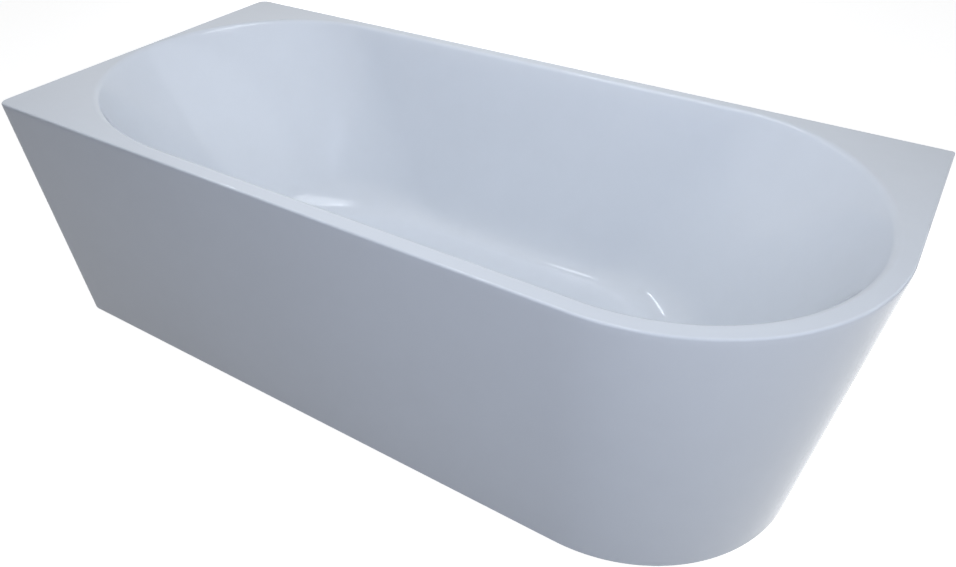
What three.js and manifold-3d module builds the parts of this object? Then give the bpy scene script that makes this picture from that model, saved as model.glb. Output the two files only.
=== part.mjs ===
// An asymmetric bath: an oval basin in a flat deck with one rounded corner, closed in front and at the
// rounded end by a tapered skirt. It stands on a steel frame with screw feet, and carries its waste,
// trap and overflow. Millimetres, +Z up. The origin is on the floor, under the middle of the deck.
// +X runs to the rounded end, and +Y to the wall behind the bath.
import * as THREE from "three";
import { mergeVertices } from "three/addons/utils/BufferGeometryUtils.js";
import Module from "manifold-3d";

const wasm = await Module();
wasm.setup();

// Overall sizes
const length = 1700;
const width = 800;
const height = 580;
const outerRadius = 383; // the rounded front right corner, seen from above
const wallCorner = 15; // the two left corners
const backCorner = 5; // the back right corner
const gap = 0.3; // between pieces that touch
const overrun = 8; // how far a cutting solid runs past the face that it cuts

// Deck: the flat top with its downturned lip
const deckThickness = 6;
const edgeRadius = 7; // the rounding along the deck's outer edge
const lipHeight = 13;
const lipWall = 5;

// Basin: an oval at the rim, and a smaller one where the walls would meet the floor without a fillet
const floorHeight = 150; // the basin's floor above the room's floor
const basinDepth = height - floorHeight;
const shellWall = 6;
const floorThickness = 8;
const stripWidth = { front: 29, back: 22, left: 14, right: 32 }; // deck left between the rim and each edge
const leanShares = { front: 0.221, back: 0.221, left: 0.635, right: 0.616 }; // of the depth
const rimEndShares = { frontLeft: 0.2565, backLeft: 0.2153 }; // how long a round end is, of the length
const footEndShares = { frontLeft: 0.206, backLeft: 0.206, frontRight: 0.1765, backRight: 0.1765 };
const rimRadius = 8; // the rounding from the deck into the basin
const filletHeight = 80; // where the walls start to turn into the floor
const filletShare = 0.4; // how far the fillet runs in over the floor, as a share of the lean

// Skirt
const skirtWall = 4;
const skirtTaper = 53; // how far its foot stands in from the deck's edge
const skirtLift = 8.5; // its foot above the floor
const skirtFlange = 25; // turned in along the foot
const skirtReturn = 35; // turned in where the skirt ends at the walls

// Boards
const boardThickness = 15;
const boardLength = 840;
const boardWidthShare = 0.5375; // of the width
const boardCorner = 60;
const stiffenerThickness = 12;
const stiffener = { alongX: 205, alongY: 165 }; // how far a deck stiffener runs from its corner
const stiffenerClearance = 3; // to the basin's wall

// Frame
const tube = 30;
const tubeWall = 2;
const post = 20;
const postWall = 1.5;
const railShare = 0.225; // from the middle to the back rail, of the width
const crossShares = [-0.4, -0.147, 0.147, 0.382]; // places of the cross tubes, of the length
const frameClearance = 8; // from a tube's end to the skirt
const backSetback = 28; // from the cross tubes' back ends to the deck's back edge
const bracketWidth = 30;
const bracketThickness = 2.5;
const bracketFoot = 22;

// Feet
const rodRadius = 6;
const rodProud = 12; // above the cross tube
const bossWall = 4;
const footInset = 50; // from a cross tube's end
const footClearance = 12.5; // from the corner foot's locknut to the front rail
const padRadius = 24;
const padHeight = 16;
const padFloor = 6; // below the rod
const padSocketWall = 4;
const nutHeight = 8;
const nutAcrossFlats = 19;
const nutSides = 6;
const flatsHeight = 9; // the square for the spanner, low on the rod
const flatsDepth = 1.5;

// Waste
const wasteHoleRadius = 25;
const flangeRadius = 36;
const flangeThickness = 3;
const recessDepth = 2; // in the basin's floor, for the flange
const wasteTubeRadius = 22.5;
const wasteBore = 20;
const wasteTubeLength = 36; // below the flange
const seatRadius = 26.5; // the step that the plug's seal sits on
const seatDepth = 2.4;
const sealThickness = 3;
const plugRadius = 31;
const plugThickness = 5.5;
const plugEdge = 1.8; // the upright part of its edge
const plugShoulder = { radius: 25, height: 4.4 }; // where its edge turns over into its flat top
const stemRadius = 5;
const stemLength = 34;
const cartridgeRadius = 9;
const cartridgeLength = 22;
const cartridgeRib = 3;
const cartridgeRibs = 3;
const cupRadius = 36;
const cupWall = 3;
const spigotRadius = 16.5;
const spigotLength = 18;
const cutoutWidth = 124; // of the slot in the base board

// Trap and hose
const pipeRadius = 20;
const bendRadius = 26;
const trapDrop = 30; // straight, below the spigot's top
const trapRise = 4;
const trapRun = 40;
const trapClearance = 15; // from the front rail to the trap
const unionWall = 5;
const unionHeight = 20;
const socketWall = 2.4;
const socketReach = 62; // from the waste's middle to the end of its hose socket
const hoseRadius = 11.5;
const hoseWall = 2.2;
const hoseGrip = 15; // length inside a socket
const hoseBendShare = 0.57; // of the way from the hose's upright run to its socket

// Overflow
const overflowDrop = 110; // below the deck
const overflowHoleRadius = 24;
const coverRadius = 32;
const coverDepth = 12;
const coverWall = 2.5;
const coverSlot = 26;
const coverStem = 6;
const overflowFlange = 33;
const chamberRadius = 22;
const chamberWall = 2.5;
const overflowSocketLength = 44; // from the chamber's middle

// How finely round shapes are cut
const quarterSteps = 14;
const bigArcSteps = 20;
const smallArcSteps = 3;
const edgeSteps = 4;
const filletSteps = 6;
const wallSteps = 3;
const roundSides = 24;
const boreSides = 16;
const pipeSides = 12;
const hoseSteps = 26;
const trapSteps = 26;

// The corner radius of a polygonal bore whose flats clear a round piece.
function around(radius, sides = roundSides) {
  return (radius + gap) / Math.cos(Math.PI / sides);
}

// The corner radius of the locknuts
const nutRadius = nutAcrossFlats / 2 / Math.cos(Math.PI / nutSides);

// Bores, worked out from what they hold
const rodBore = around(rodRadius, boreSides);
const socketRadius = around(hoseRadius, boreSides);
const pipeBore = around(spigotRadius, pipeSides);

// Hollows deep enough for the hose sockets on their sides
const cupHeight = 2 * (cupWall + socketRadius + 2 * socketWall);
const chamberDepth = 2 * socketRadius + chamberWall + socketWall + gap;

// The base board's width
const boardWidth = boardWidthShare * width;

// Levels, worked out from the sizes above
const floorTop = height - basinDepth;
const floorUnder = floorTop - floorThickness;
const lipUnder = height - lipHeight;
const skirtTop = lipUnder - gap;
const boardTop = floorUnder - gap;
const boardUnder = boardTop - boardThickness;
const crossTop = boardUnder - gap;
const crossUnder = crossTop - tube;
const railTop = crossUnder - gap;
const railMiddle = railTop - tube / 2;
const stiffenerTop = height - deckThickness - gap;
const stiffenerUnder = stiffenerTop - stiffenerThickness;

// Finishes
const finishes = {
  acrylic: { color: 0xf1f3f5, roughness: 0.12, metalness: 0 },
  skirt: { color: 0xeef0f3, roughness: 0.14, metalness: 0 },
  chipboard: { color: 0xb59a72, roughness: 0.85, metalness: 0 },
  plywood: { color: 0xc2a578, roughness: 0.8, metalness: 0 },
  steel: { color: 0x9a9ea3, roughness: 0.42, metalness: 0.9 },
  zinc: { color: 0xb9bcc0, roughness: 0.35, metalness: 1 },
  padPlastic: { color: 0x1e1f22, roughness: 0.6, metalness: 0 },
  chrome: { color: 0xe6e8ea, roughness: 0.06, metalness: 1 },
  rubber: { color: 0x26262a, roughness: 0.8, metalness: 0 },
  brass: { color: 0xb8953f, roughness: 0.35, metalness: 1 },
  pipePlastic: { color: 0xdfe1e0, roughness: 0.45, metalness: 0 },
  nutPlastic: { color: 0x3c4046, roughness: 0.5, metalness: 0 },
};

// Turns a closed geometry into a solid for joining and cutting.
function solid(geometry) {
  const bare = geometry.clone();
  bare.deleteAttribute("normal");
  bare.deleteAttribute("uv");
  const merged = mergeVertices(bare);
  const vertProperties = Float32Array.from(merged.attributes.position.array);
  const triVerts = Uint32Array.from(merged.index.array);
  return new wasm.Manifold(new wasm.Mesh({ numProp: 3, vertProperties, triVerts }));
}

// Turns a solid back into a geometry.
function geometryOf(body) {
  const { vertProperties, triVerts } = body.getMesh();
  const geometry = new THREE.BufferGeometry();
  geometry.setAttribute("position", new THREE.BufferAttribute(vertProperties, 3));
  geometry.setIndex(new THREE.BufferAttribute(triVerts, 1));
  geometry.computeVertexNormals();
  return geometry;
}

// Makes a named mesh with its finish.
function piece(name, geometry, finish, position = [0, 0, 0]) {
  const mesh = new THREE.Mesh(geometry, new THREE.MeshStandardMaterial(finishes[finish]));
  mesh.name = name;
  mesh.position.set(...position);
  return mesh;
}

// Points along an arc of an ellipse, from one angle to another.
function arc(cx, cy, rx, ry, from, to, steps) {
  return Array.from({ length: steps + 1 }, (_, i) => {
    const angle = from + ((to - from) * i) / steps;
    return new THREE.Vector2(cx + rx * Math.cos(angle), cy + ry * Math.sin(angle));
  });
}

// Lifts an outline to a height.
function level(outline, z) {
  return outline.map((p) => new THREE.Vector3(p.x, p.y, z));
}

// Skins a stack of anticlockwise rings, lowest first, and closes both ends.
function loft(rings) {
  const count = rings[0].length;
  const index = [];
  for (let r = 0; r + 1 < rings.length; r++) {
    for (let i = 0; i < count; i++) {
      const a = r * count + i;
      const b = r * count + ((i + 1) % count);
      index.push(a, b, b + count, a, b + count, a + count);
    }
  }
  const last = (rings.length - 1) * count;
  for (const [a, b, c] of THREE.ShapeUtils.triangulateShape(rings[0], [])) index.push(a, c, b);
  for (const [a, b, c] of THREE.ShapeUtils.triangulateShape(rings.at(-1), [])) {
    index.push(last + a, last + b, last + c);
  }
  const geometry = new THREE.BufferGeometry().setFromPoints(rings.flat());
  geometry.setIndex(index);
  return geometry;
}

// A box given by its low and high corners.
function boxBetween([x0, y0, z0], [x1, y1, z1]) {
  const box = new THREE.BoxGeometry(x1 - x0, y1 - y0, z1 - z0);
  return box.translate((x0 + x1) / 2, (y0 + y1) / 2, (z0 + z1) / 2);
}

// A round solid about +Z, from [radius, height] points that start and end on the axis or form a loop.
function turned(points, sides = roundSides) {
  const profile = points.map(([r, z]) => new THREE.Vector2(r, z));
  return new THREE.LatheGeometry(profile, sides).rotateX(Math.PI / 2);
}

// A ring about +Z with a rectangular section.
function ringSolid(inner, outer, low, high, sides = roundSides) {
  return turned([[inner, low], [outer, low], [outer, high], [inner, high], [inner, low]], sides);
}

// A plain round bar about +Z.
function bar(radius, low, high, sides = roundSides) {
  return turned([[0, low], [radius, low], [radius, high], [0, high]], sides);
}

// A regular polygon as a closed path.
function polygon(radius, sides, PathClass = THREE.Shape) {
  const step = (2 * Math.PI) / sides;
  const points = Array.from({ length: sides }, (_, i) => {
    return new THREE.Vector2(radius * Math.cos(i * step), radius * Math.sin(i * step));
  });
  return new PathClass(points);
}

// A square tube of a given length along +Z, open at both ends.
function squareTube(side, wall, run) {
  const half = side / 2;
  const outside = [[-half, -half], [half, -half], [half, half], [-half, half]];
  const inside = outside.map(([x, y]) => [x * (1 - wall / half), y * (1 - wall / half)]);
  const shape = new THREE.Shape(outside.map((p) => new THREE.Vector2(...p)));
  shape.holes.push(new THREE.Path(inside.map((p) => new THREE.Vector2(...p))));
  return new THREE.ExtrudeGeometry(shape, { depth: run, bevelEnabled: false });
}

// A round tube along a path.
function pipeAlong(path, radius, bore, steps) {
  const shape = polygon(radius, pipeSides);
  shape.holes.push(polygon(bore, pipeSides, THREE.Path));
  return new THREE.ExtrudeGeometry(shape, { steps, extrudePath: path, bevelEnabled: false });
}

// How far the outside face stands in from the deck's edge at a height.
function taperAt(z) {
  const taperTop = height - edgeRadius;
  return (skirtTaper * Math.max(taperTop - z, 0)) / (taperTop - skirtLift);
}

// The outline seen from above: straight left, back and front, and one large rounded corner. An open
// outline runs on past the left and the back.
function plateOutline(inset, taper, open = false) {
  const left = open ? -length / 2 - overrun : -length / 2 + inset;
  const back = open ? width / 2 + overrun : width / 2 - inset;
  const right = length / 2 - inset - taper;
  const front = -width / 2 + inset + taper;
  const big = outerRadius - inset - taper;
  const small = Math.max(wallCorner - inset, edgeRadius);
  const least = Math.max(backCorner - inset, gap);
  const quarter = Math.PI / 2;
  return [
    ...arc(left + small, front + small, small, small, 2 * quarter, 3 * quarter, smallArcSteps),
    ...arc(right - big, front + big, big, big, -quarter, 0, bigArcSteps),
    ...arc(right - least, back - least, least, least, 0, quarter, smallArcSteps),
    ...arc(left + small, back - small, small, small, quarter, 2 * quarter, smallArcSteps),
  ];
}

// How far each wall leans in on its way down
const lean = {
  front: leanShares.front * basinDepth,
  back: leanShares.back * basinDepth,
  left: leanShares.left * basinDepth,
  right: leanShares.right * basinDepth,
};

// How long each round end is at the rim and at the foot of the wall
const rimReach = {
  frontLeft: rimEndShares.frontLeft * length,
  backLeft: rimEndShares.backLeft * length,
  frontRight: outerRadius - stripWidth.right,
  backRight: outerRadius - stripWidth.right,
};
const footReach = {
  frontLeft: footEndShares.frontLeft * length,
  backLeft: footEndShares.backLeft * length,
  frontRight: footEndShares.frontRight * length,
  backRight: footEndShares.backRight * length,
};

// The basin's outline at a share of the way down its wall: 0 at the rim, 1 at the foot of the wall.
function basinOutline(share, inset) {
  const left = -length / 2 + stripWidth.left + inset + lean.left * share;
  const right = length / 2 - stripWidth.right - inset - lean.right * share;
  const front = -width / 2 + stripWidth.front + inset + lean.front * share;
  const back = width / 2 - stripWidth.back - inset - lean.back * share;
  const middleRight = (-width / 2 + outerRadius) * (1 - share);
  const reach = (corner) => {
    return THREE.MathUtils.lerp(rimReach[corner], footReach[corner], share) - inset;
  };
  const quarter = Math.PI / 2;
  const [fl, fr] = [reach("frontLeft"), reach("frontRight")];
  const [br, bl] = [reach("backRight"), reach("backLeft")];
  return [
    ...arc(left + fl, 0, fl, -front, 2 * quarter, 3 * quarter, quarterSteps),
    ...arc(right - fr, middleRight, fr, middleRight - front, -quarter, 0, quarterSteps),
    ...arc(right - br, middleRight, br, back - middleRight, 0, quarter, quarterSteps).slice(1),
    ...arc(left + bl, 0, bl, back, quarter, 2 * quarter, quarterSteps).slice(0, -1),
  ];
}

// The basin's wall from the floor up to the foot of the rim's rounding, as [share, depth] stations.
function wallStations() {
  const run = basinDepth - rimRadius;
  const turn = 1 - filletHeight / run;
  const stations = [];
  for (let i = filletSteps; i > 0; i--) {
    const t = i / filletSteps;
    const share = turn * (1 - t) ** 2 + 2 * t * (1 - t) + (1 + filletShare) * t ** 2;
    stations.push([share, basinDepth - filletHeight * (1 - t) ** 2]);
  }
  for (let i = wallSteps; i >= 0; i--) {
    const share = (turn * i) / wallSteps;
    stations.push([share, rimRadius + run * share]);
  }
  return stations;
}

// The hollow of the basin, with its rim rounded into the deck.
function basinHollow() {
  const rings = wallStations().map(([share, depth]) => {
    return level(basinOutline(share, rimRadius), height - depth);
  });
  for (let i = edgeSteps - 1; i >= 0; i--) {
    const angle = ((Math.PI / 2) * i) / edgeSteps;
    const z = height - rimRadius * (1 - Math.cos(angle));
    rings.push(level(basinOutline(0, rimRadius * Math.sin(angle)), z));
  }
  rings.push(level(basinOutline(0, 0), height + overrun));
  return solid(loft(rings));
}

// The outside of the basin below the deck, a wall's thickness and a clearance away from the hollow.
function basinOutside(clearance = 0) {
  const stations = wallStations();
  const rings = stations.map(([share, depth], i) => {
    const [below, above] = [stations[Math.max(i - 1, 0)], stations[Math.min(i + 1, stations.length - 1)]];
    const across = lean.back * (below[0] - above[0]);
    const slope = i === 0 ? 1 : across / Math.hypot(across, below[1] - above[1]);
    const outwards = (shellWall + clearance) * Math.sqrt(1 - slope ** 2);
    const down = (floorThickness + clearance) * slope;
    return level(basinOutline(share, rimRadius - outwards), height - depth - down);
  });
  const inSlab = height - deckThickness / 2 + clearance;
  rings.push(level(basinOutline(0, rimRadius - shellWall - clearance), inSlab));
  return solid(loft(rings));
}

// A point on the inside of the basin's front wall, and the wall's direction into the basin.
const overflowShare = (overflowDrop - rimRadius) / (basinDepth - rimRadius);
const overflowY = -width / 2 + stripWidth.front + rimRadius + lean.front * overflowShare;
const wallAngle = Math.atan2(lean.front, basinDepth - rimRadius);
const overflowPlace = new THREE.Matrix4()
  .makeRotationX(wallAngle - Math.PI / 2)
  .setPosition(0, overflowY, height - overflowDrop);

// The shell: deck, lip and basin in one, with the waste and overflow holes.
function bathShell() {
  const rings = [level(plateOutline(0, taperAt(lipUnder)), lipUnder)];
  for (let i = 0; i <= edgeSteps; i++) {
    const angle = ((Math.PI / 2) * i) / edgeSteps;
    const z = height - edgeRadius * (1 - Math.sin(angle));
    rings.push(level(plateOutline(edgeRadius * (1 - Math.cos(angle)), taperAt(z)), z));
  }
  const deckUnder = height - deckThickness;
  const under = loft([
    level(plateOutline(lipWall, taperAt(lipUnder)), lipUnder - overrun),
    level(plateOutline(lipWall, taperAt(deckUnder)), deckUnder),
  ]);
  const recess = bar(flangeRadius + 2 * gap, floorTop - recessDepth, floorTop + overrun);
  const hole = bar(wasteHoleRadius, floorUnder - overrun, floorTop);
  const overflow = bar(overflowHoleRadius, -shellWall - overrun, overrun).applyMatrix4(overflowPlace);
  return solid(loft(rings))
    .subtract(solid(under))
    .add(basinOutside())
    .subtract(basinHollow())
    .subtract(solid(recess.translate(0, wasteY, 0)))
    .subtract(solid(hole.translate(0, wasteY, 0)))
    .subtract(solid(overflow));
}

// The skirt: one wall along the front and round the rounded end, with a foot flange and end returns.
function outerSkirt() {
  const wallAt = (inset, z, at = z, open = false) => level(plateOutline(inset, taperAt(z), open), at);
  const outside = loft([wallAt(0, skirtLift), wallAt(0, skirtTop)]);
  const flangeTop = skirtLift + skirtWall;
  const inside = loft([wallAt(skirtWall, flangeTop), wallAt(skirtWall, skirtTop + overrun)]);
  const mouthInset = skirtWall + skirtFlange;
  const mouth = loft([
    wallAt(mouthInset, skirtLift, skirtLift - overrun),
    wallAt(mouthInset, flangeTop, flangeTop + overrun),
  ]);
  const wallSides = loft([
    wallAt(skirtReturn, skirtLift, skirtLift - overrun, true),
    wallAt(skirtReturn, skirtTop, skirtTop + overrun, true),
  ]);
  return solid(outside).subtract(solid(inside)).subtract(solid(mouth)).subtract(solid(wallSides));
}

// The board bonded under the basin's floor, with a slot for the waste that is open to the front.
function baseBoard() {
  const [x, y, r] = [boardLength / 2, boardWidth / 2, boardCorner];
  const quarter = Math.PI / 2;
  const outline = [
    ...arc(-x + r, -y + r, r, r, 2 * quarter, 3 * quarter, smallArcSteps),
    ...arc(x - r, -y + r, r, r, -quarter, 0, smallArcSteps),
    ...arc(x - r, y - r, r, r, 0, quarter, smallArcSteps),
    ...arc(-x + r, y - r, r, r, quarter, 2 * quarter, smallArcSteps),
  ];
  const board = loft([level(outline, boardUnder), level(outline, boardTop)]);
  const slot = boxBetween(
    [-cutoutWidth / 2, -boardWidth / 2 - overrun, boardUnder - overrun],
    [cutoutWidth / 2, wasteY + cutoutWidth / 2, boardTop + overrun],
  );
  return solid(board).subtract(solid(slot));
}

// A stiffener under one corner of the deck, inside the lip and cut to the basin's curve.
function deckStiffener(sideX, sideY) {
  const outline = plateOutline(lipWall + gap, taperAt(stiffenerUnder));
  const sheet = loft([level(outline, stiffenerUnder), level(outline, stiffenerTop)]);
  const outer = [sideX * (length / 2), sideY * (width / 2)];
  const inner = [outer[0] - sideX * stiffener.alongX, outer[1] - sideY * stiffener.alongY];
  const low = [Math.min(outer[0], inner[0]), Math.min(outer[1], inner[1]), stiffenerUnder - overrun];
  const high = [Math.max(outer[0], inner[0]), Math.max(outer[1], inner[1]), stiffenerTop + overrun];
  return solid(sheet)
    .intersect(solid(boxBetween(low, high)))
    .subtract(basinOutside(stiffenerClearance));
}

// The y of the skirt's inner face at its foot, over a span of x about a place.
function skirtFaceAt(x, halfSpan) {
  const radius = outerRadius - skirtTaper - skirtWall;
  const past = Math.max(x + halfSpan - (length / 2 - outerRadius), 0);
  return -width / 2 + outerRadius - Math.sqrt(radius ** 2 - past ** 2);
}

// The x of the skirt's inner face at its foot, over a span of y about a place.
function skirtEndAt(y, halfSpan) {
  const radius = outerRadius - skirtTaper - skirtWall;
  const past = Math.max(-width / 2 + outerRadius - (y - halfSpan), 0);
  return length / 2 - outerRadius + Math.sqrt(radius ** 2 - past ** 2);
}

// Places of the frame's tubes and feet
const crosses = crossShares.map((share) => {
  const x = share * length;
  return { x, front: skirtFaceAt(x, bracketWidth / 2) + frameClearance, back: width / 2 - backSetback };
});
const railLeft = crosses[0].x - tube / 2;
const feet = [
  { cross: crosses[0], y: crosses[0].front + footInset },
  { cross: crosses[0], y: crosses[0].back - footInset },
  { cross: crosses[1], y: crosses[1].back - footInset },
  { cross: crosses[2], y: crosses[2].front + footInset },
  { cross: crosses[3], y: crosses[3].front + footInset },
  { cross: crosses[3], y: crosses[3].back - footInset },
];
const cornerFoot = feet[4];
const railFront = cornerFoot.y + nutRadius + footClearance + tube / 2;
const rails = [railFront, railShare * width].map((y) => {
  return { y, right: skirtEndAt(y, bracketWidth / 2) - frameClearance };
});

// The waste's axis, behind the front rail
const wasteY = railFront + tube / 2 + trapClearance + pipeRadius;

// A cross tube with a threaded boss welded through it at each foot.
function crossTube(cross) {
  const run = cross.back - cross.front;
  const blank = squareTube(tube, tubeWall, run).rotateX(-Math.PI / 2);
  let body = solid(blank.translate(cross.x, cross.front, crossTop - tube / 2));
  for (const foot of feet.filter((f) => f.cross === cross)) {
    const boss = bar(rodBore + bossWall, crossUnder, crossTop, boreSides);
    const bore = bar(rodBore, crossUnder - overrun, crossTop + overrun, boreSides);
    body = body.add(solid(boss.translate(cross.x, foot.y, 0)));
    body = body.subtract(solid(bore.translate(cross.x, foot.y, 0)));
  }
  return body;
}

// A rail under the cross tubes.
function rail(place) {
  const run = place.right - railLeft;
  return squareTube(tube, tubeWall, run).rotateY(Math.PI / 2).translate(railLeft, place.y, railMiddle);
}

// A post from a cross tube's end up to a deck stiffener.
function postAt(x, y) {
  const low = crossTop + gap;
  return squareTube(post, postWall, stiffenerUnder - gap - low).translate(x, y, low);
}

// An angle that ties the skirt's flange to a tube's end. It is drawn for a tube that ends at y = 0 and
// runs to +Y.
function bracket(tubeMiddle) {
  const foot = skirtLift + skirtWall + gap;
  const half = bracketWidth / 2;
  const face = -gap - bracketThickness;
  const upright = boxBetween([-half, face, foot], [half, -gap, tubeMiddle + tube / 2]);
  const sole = boxBetween([-half, face, foot], [half, face + bracketFoot, foot + bracketThickness]);
  return geometryOf(solid(upright).add(solid(sole)));
}

// A screw foot's pad, with the socket that holds the rod's end.
function footPad() {
  return turned([
    [0, 0],
    [padRadius, 0],
    [padRadius, padFloor],
    [rodBore + padSocketWall, padHeight],
    [rodBore, padHeight],
    [rodBore, padFloor],
    [0, padFloor],
  ], boreSides);
}

// A screw foot's rod, with two flats for a spanner just above the pad.
function footRod() {
  const low = padFloor + gap;
  const rod = bar(rodRadius, low, crossTop + rodProud, boreSides);
  const flatLow = padHeight + flatsHeight / 2;
  const cuts = [-1, 1].map((side) => {
    const near = side * (rodRadius - flatsDepth);
    const far = side * (rodRadius + overrun);
    const [x0, x1] = [Math.min(near, far), Math.max(near, far)];
    return solid(boxBetween([x0, -padRadius, flatLow], [x1, padRadius, flatLow + flatsHeight]));
  });
  return geometryOf(solid(rod).subtract(cuts[0]).subtract(cuts[1]));
}

// The nut that locks a rod under its cross tube.
function lockNut() {
  const top = crossUnder - gap;
  const hex = polygon(nutRadius, nutSides);
  hex.holes.push(polygon(rodBore, boreSides, THREE.Path));
  const nut = new THREE.ExtrudeGeometry(hex, { depth: nutHeight, bevelEnabled: false });
  return nut.translate(0, 0, top - nutHeight);
}

// Levels of the waste, about its own axis
const flangeLow = floorTop - recessDepth + gap;
const flangeTop = flangeLow + flangeThickness;
const wasteTubeLow = flangeLow - wasteTubeLength;
const seatTop = flangeTop - seatDepth;
const plugLow = flangeTop + gap;
const sealTop = floorUnder - gap;
const cupTop = sealTop - sealThickness - gap;
const cupLow = cupTop - cupHeight;
const socketZ = cupLow + cupHeight / 2;

// The chrome flange and its threaded tube.
function wasteFlange() {
  return turned([
    [wasteBore, wasteTubeLow],
    [wasteTubeRadius, wasteTubeLow],
    [wasteTubeRadius, flangeLow],
    [flangeRadius, flangeLow],
    [flangeRadius, flangeLow + flangeThickness / 2],
    [flangeRadius - flangeThickness, flangeTop],
    [seatRadius, flangeTop],
    [seatRadius, seatTop],
    [wasteBore, seatTop],
    [wasteBore, wasteTubeLow],
  ]);
}

// The plug: a shallow dome on its stem.
function wastePlug() {
  return turned([
    [0, plugLow - stemLength],
    [stemRadius, plugLow - stemLength],
    [stemRadius, plugLow],
    [plugRadius, plugLow],
    [plugRadius, plugLow + plugEdge],
    [plugShoulder.radius, plugLow + plugShoulder.height],
    [0, plugLow + plugThickness],
  ]);
}

// The guide for the plug's stem: a sleeve on three ribs inside the flange's tube.
function wasteCartridge() {
  const high = wasteTubeLow + cartridgeLength;
  let body = solid(ringSolid(around(stemRadius), cartridgeRadius, wasteTubeLow, high));
  for (let i = 0; i < cartridgeRibs; i++) {
    const rib = boxBetween(
      [(stemRadius + cartridgeRadius) / 2, -cartridgeRib / 2, wasteTubeLow],
      [wasteBore - 2 * gap, cartridgeRib / 2, wasteTubeLow + cartridgeLength / 2],
    );
    body = body.add(solid(rib.rotateZ((2 * Math.PI * i) / cartridgeRibs)));
  }
  return geometryOf(body);
}

// The cup under the floor, with a spigot for the trap and a socket for the overflow hose.
function wasteBody() {
  const cup = turned([
    [spigotRadius - cupWall, cupLow - spigotLength],
    [spigotRadius, cupLow - spigotLength],
    [spigotRadius, cupLow],
    [cupRadius, cupLow + cupWall],
    [cupRadius, cupTop],
    [wasteTubeRadius + gap, cupTop],
    [wasteTubeRadius + gap, cupTop - cupWall],
    [cupRadius - cupWall, cupTop - cupWall],
    [cupRadius - cupWall, cupLow + 2 * cupWall],
    [spigotRadius - cupWall, cupLow + cupWall],
    [spigotRadius - cupWall, cupLow - spigotLength],
  ]);
  const from = cupRadius - 2 * cupWall;
  const branch = bar(socketRadius + socketWall, cupRadius - cupWall / 2, socketReach, boreSides);
  const bore = bar(socketRadius, from, socketReach + overrun, boreSides);
  const place = (geometry) => solid(geometry.rotateX(Math.PI / 2).translate(0, 0, socketZ));
  return geometryOf(solid(cup).add(place(branch)).subtract(place(bore)));
}

// Where the lip of a union nut starts, from its open end
const unionLip = unionHeight - unionWall / 2;

// A union nut about +Z: a sleeve round a pipe of one radius with a lip round a smaller one.
function unionNut(over, through) {
  const [wide, narrow] = [around(over), around(through)];
  return turned([
    [wide, 0],
    [wide + unionWall, 0],
    [wide + unionWall, unionHeight],
    [narrow, unionHeight],
    [narrow, unionLip],
    [wide, unionLip],
    [wide, 0],
  ]);
}

// Levels of the trap, about the waste's axis
const trapTop = cupLow - gap;
const trapBendTop = trapTop - trapDrop;
const riserY = bendRadius + bendRadius;
const outletZ = trapBendTop + trapRise + bendRadius;
const outletBendY = riserY + bendRadius;
const outletY = outletBendY + trapRun;

// A round bend in the YZ plane between two straight runs.
class RoundBend extends THREE.Curve {
  constructor(centre, radius, from, to) {
    super();
    Object.assign(this, { centre, radius, from, to });
  }

  getPoint(t, target = new THREE.Vector3()) {
    const angle = THREE.MathUtils.lerp(this.from, this.to, t);
    const [y, z] = [this.radius * Math.cos(angle), this.radius * Math.sin(angle)];
    return target.set(0, this.centre[0] + y, this.centre[1] + z);
  }
}

// A path in the YZ plane through straight runs and bends.
function pathOf(...curves) {
  const path = new THREE.CurvePath();
  curves.forEach((curve) => path.add(curve));
  return path;
}

// A straight run in the YZ plane.
function run(y0, z0, y1, z1) {
  return new THREE.LineCurve3(new THREE.Vector3(0, y0, z0), new THREE.Vector3(0, y1, z1));
}

// The trap: down, round a U, up and out towards the back.
function trap() {
  const turn = Math.PI;
  const path = pathOf(
    run(0, trapTop, 0, trapBendTop),
    new RoundBend([bendRadius, trapBendTop], bendRadius, turn, 2 * turn),
    run(riserY, trapBendTop, riserY, trapBendTop + trapRise),
    new RoundBend([outletBendY, trapBendTop + trapRise], bendRadius, turn, turn / 2),
    run(outletBendY, outletZ, outletY, outletZ),
  );
  return pipeAlong(path, pipeRadius, pipeBore, trapSteps);
}

// The overflow's pieces are drawn about +Z, which points into the basin, with the wall's inner face at 0
// and +Y down the wall.
const chamberLow = -shellWall - 2 * gap - sealThickness - chamberDepth;
const hoseLevel = chamberLow + chamberWall + socketRadius;

// The chrome cover, open at its lower side.
function overflowCover() {
  const stemLow = chamberLow + chamberWall + gap;
  const cup = turned([
    [0, stemLow],
    [coverStem, stemLow],
    [coverStem, coverDepth - coverWall],
    [coverRadius - coverWall, coverDepth - coverWall],
    [coverRadius - coverWall, gap],
    [coverRadius, gap],
    [coverRadius, coverDepth - coverWall],
    [coverRadius - coverWall, coverDepth],
    [0, coverDepth],
  ]);
  const slot = boxBetween(
    [-coverSlot / 2, coverRadius / 2, gap - overrun],
    [coverSlot / 2, coverRadius + overrun, coverDepth / 2],
  );
  return solid(cup).subtract(solid(slot));
}

// The chamber behind the wall, with a socket down the wall for the hose.
function overflowBody() {
  const top = chamberLow + chamberDepth;
  const chamber = turned([
    [0, chamberLow],
    [chamberRadius, chamberLow],
    [chamberRadius, top - chamberWall],
    [overflowFlange, top - chamberWall],
    [overflowFlange, top],
    [chamberRadius - chamberWall, top],
    [chamberRadius - chamberWall, chamberLow + chamberWall],
    [0, chamberLow + chamberWall],
  ]);
  const outside = socketRadius + socketWall;
  const branch = bar(outside, chamberRadius - chamberWall, overflowSocketLength, boreSides);
  const bore = bar(socketRadius, coverStem, overflowSocketLength + overrun, boreSides);
  const place = (geometry) => solid(geometry.rotateX(-Math.PI / 2).translate(0, 0, hoseLevel));
  return geometryOf(solid(chamber).add(place(branch)).subtract(place(bore)));
}

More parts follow.
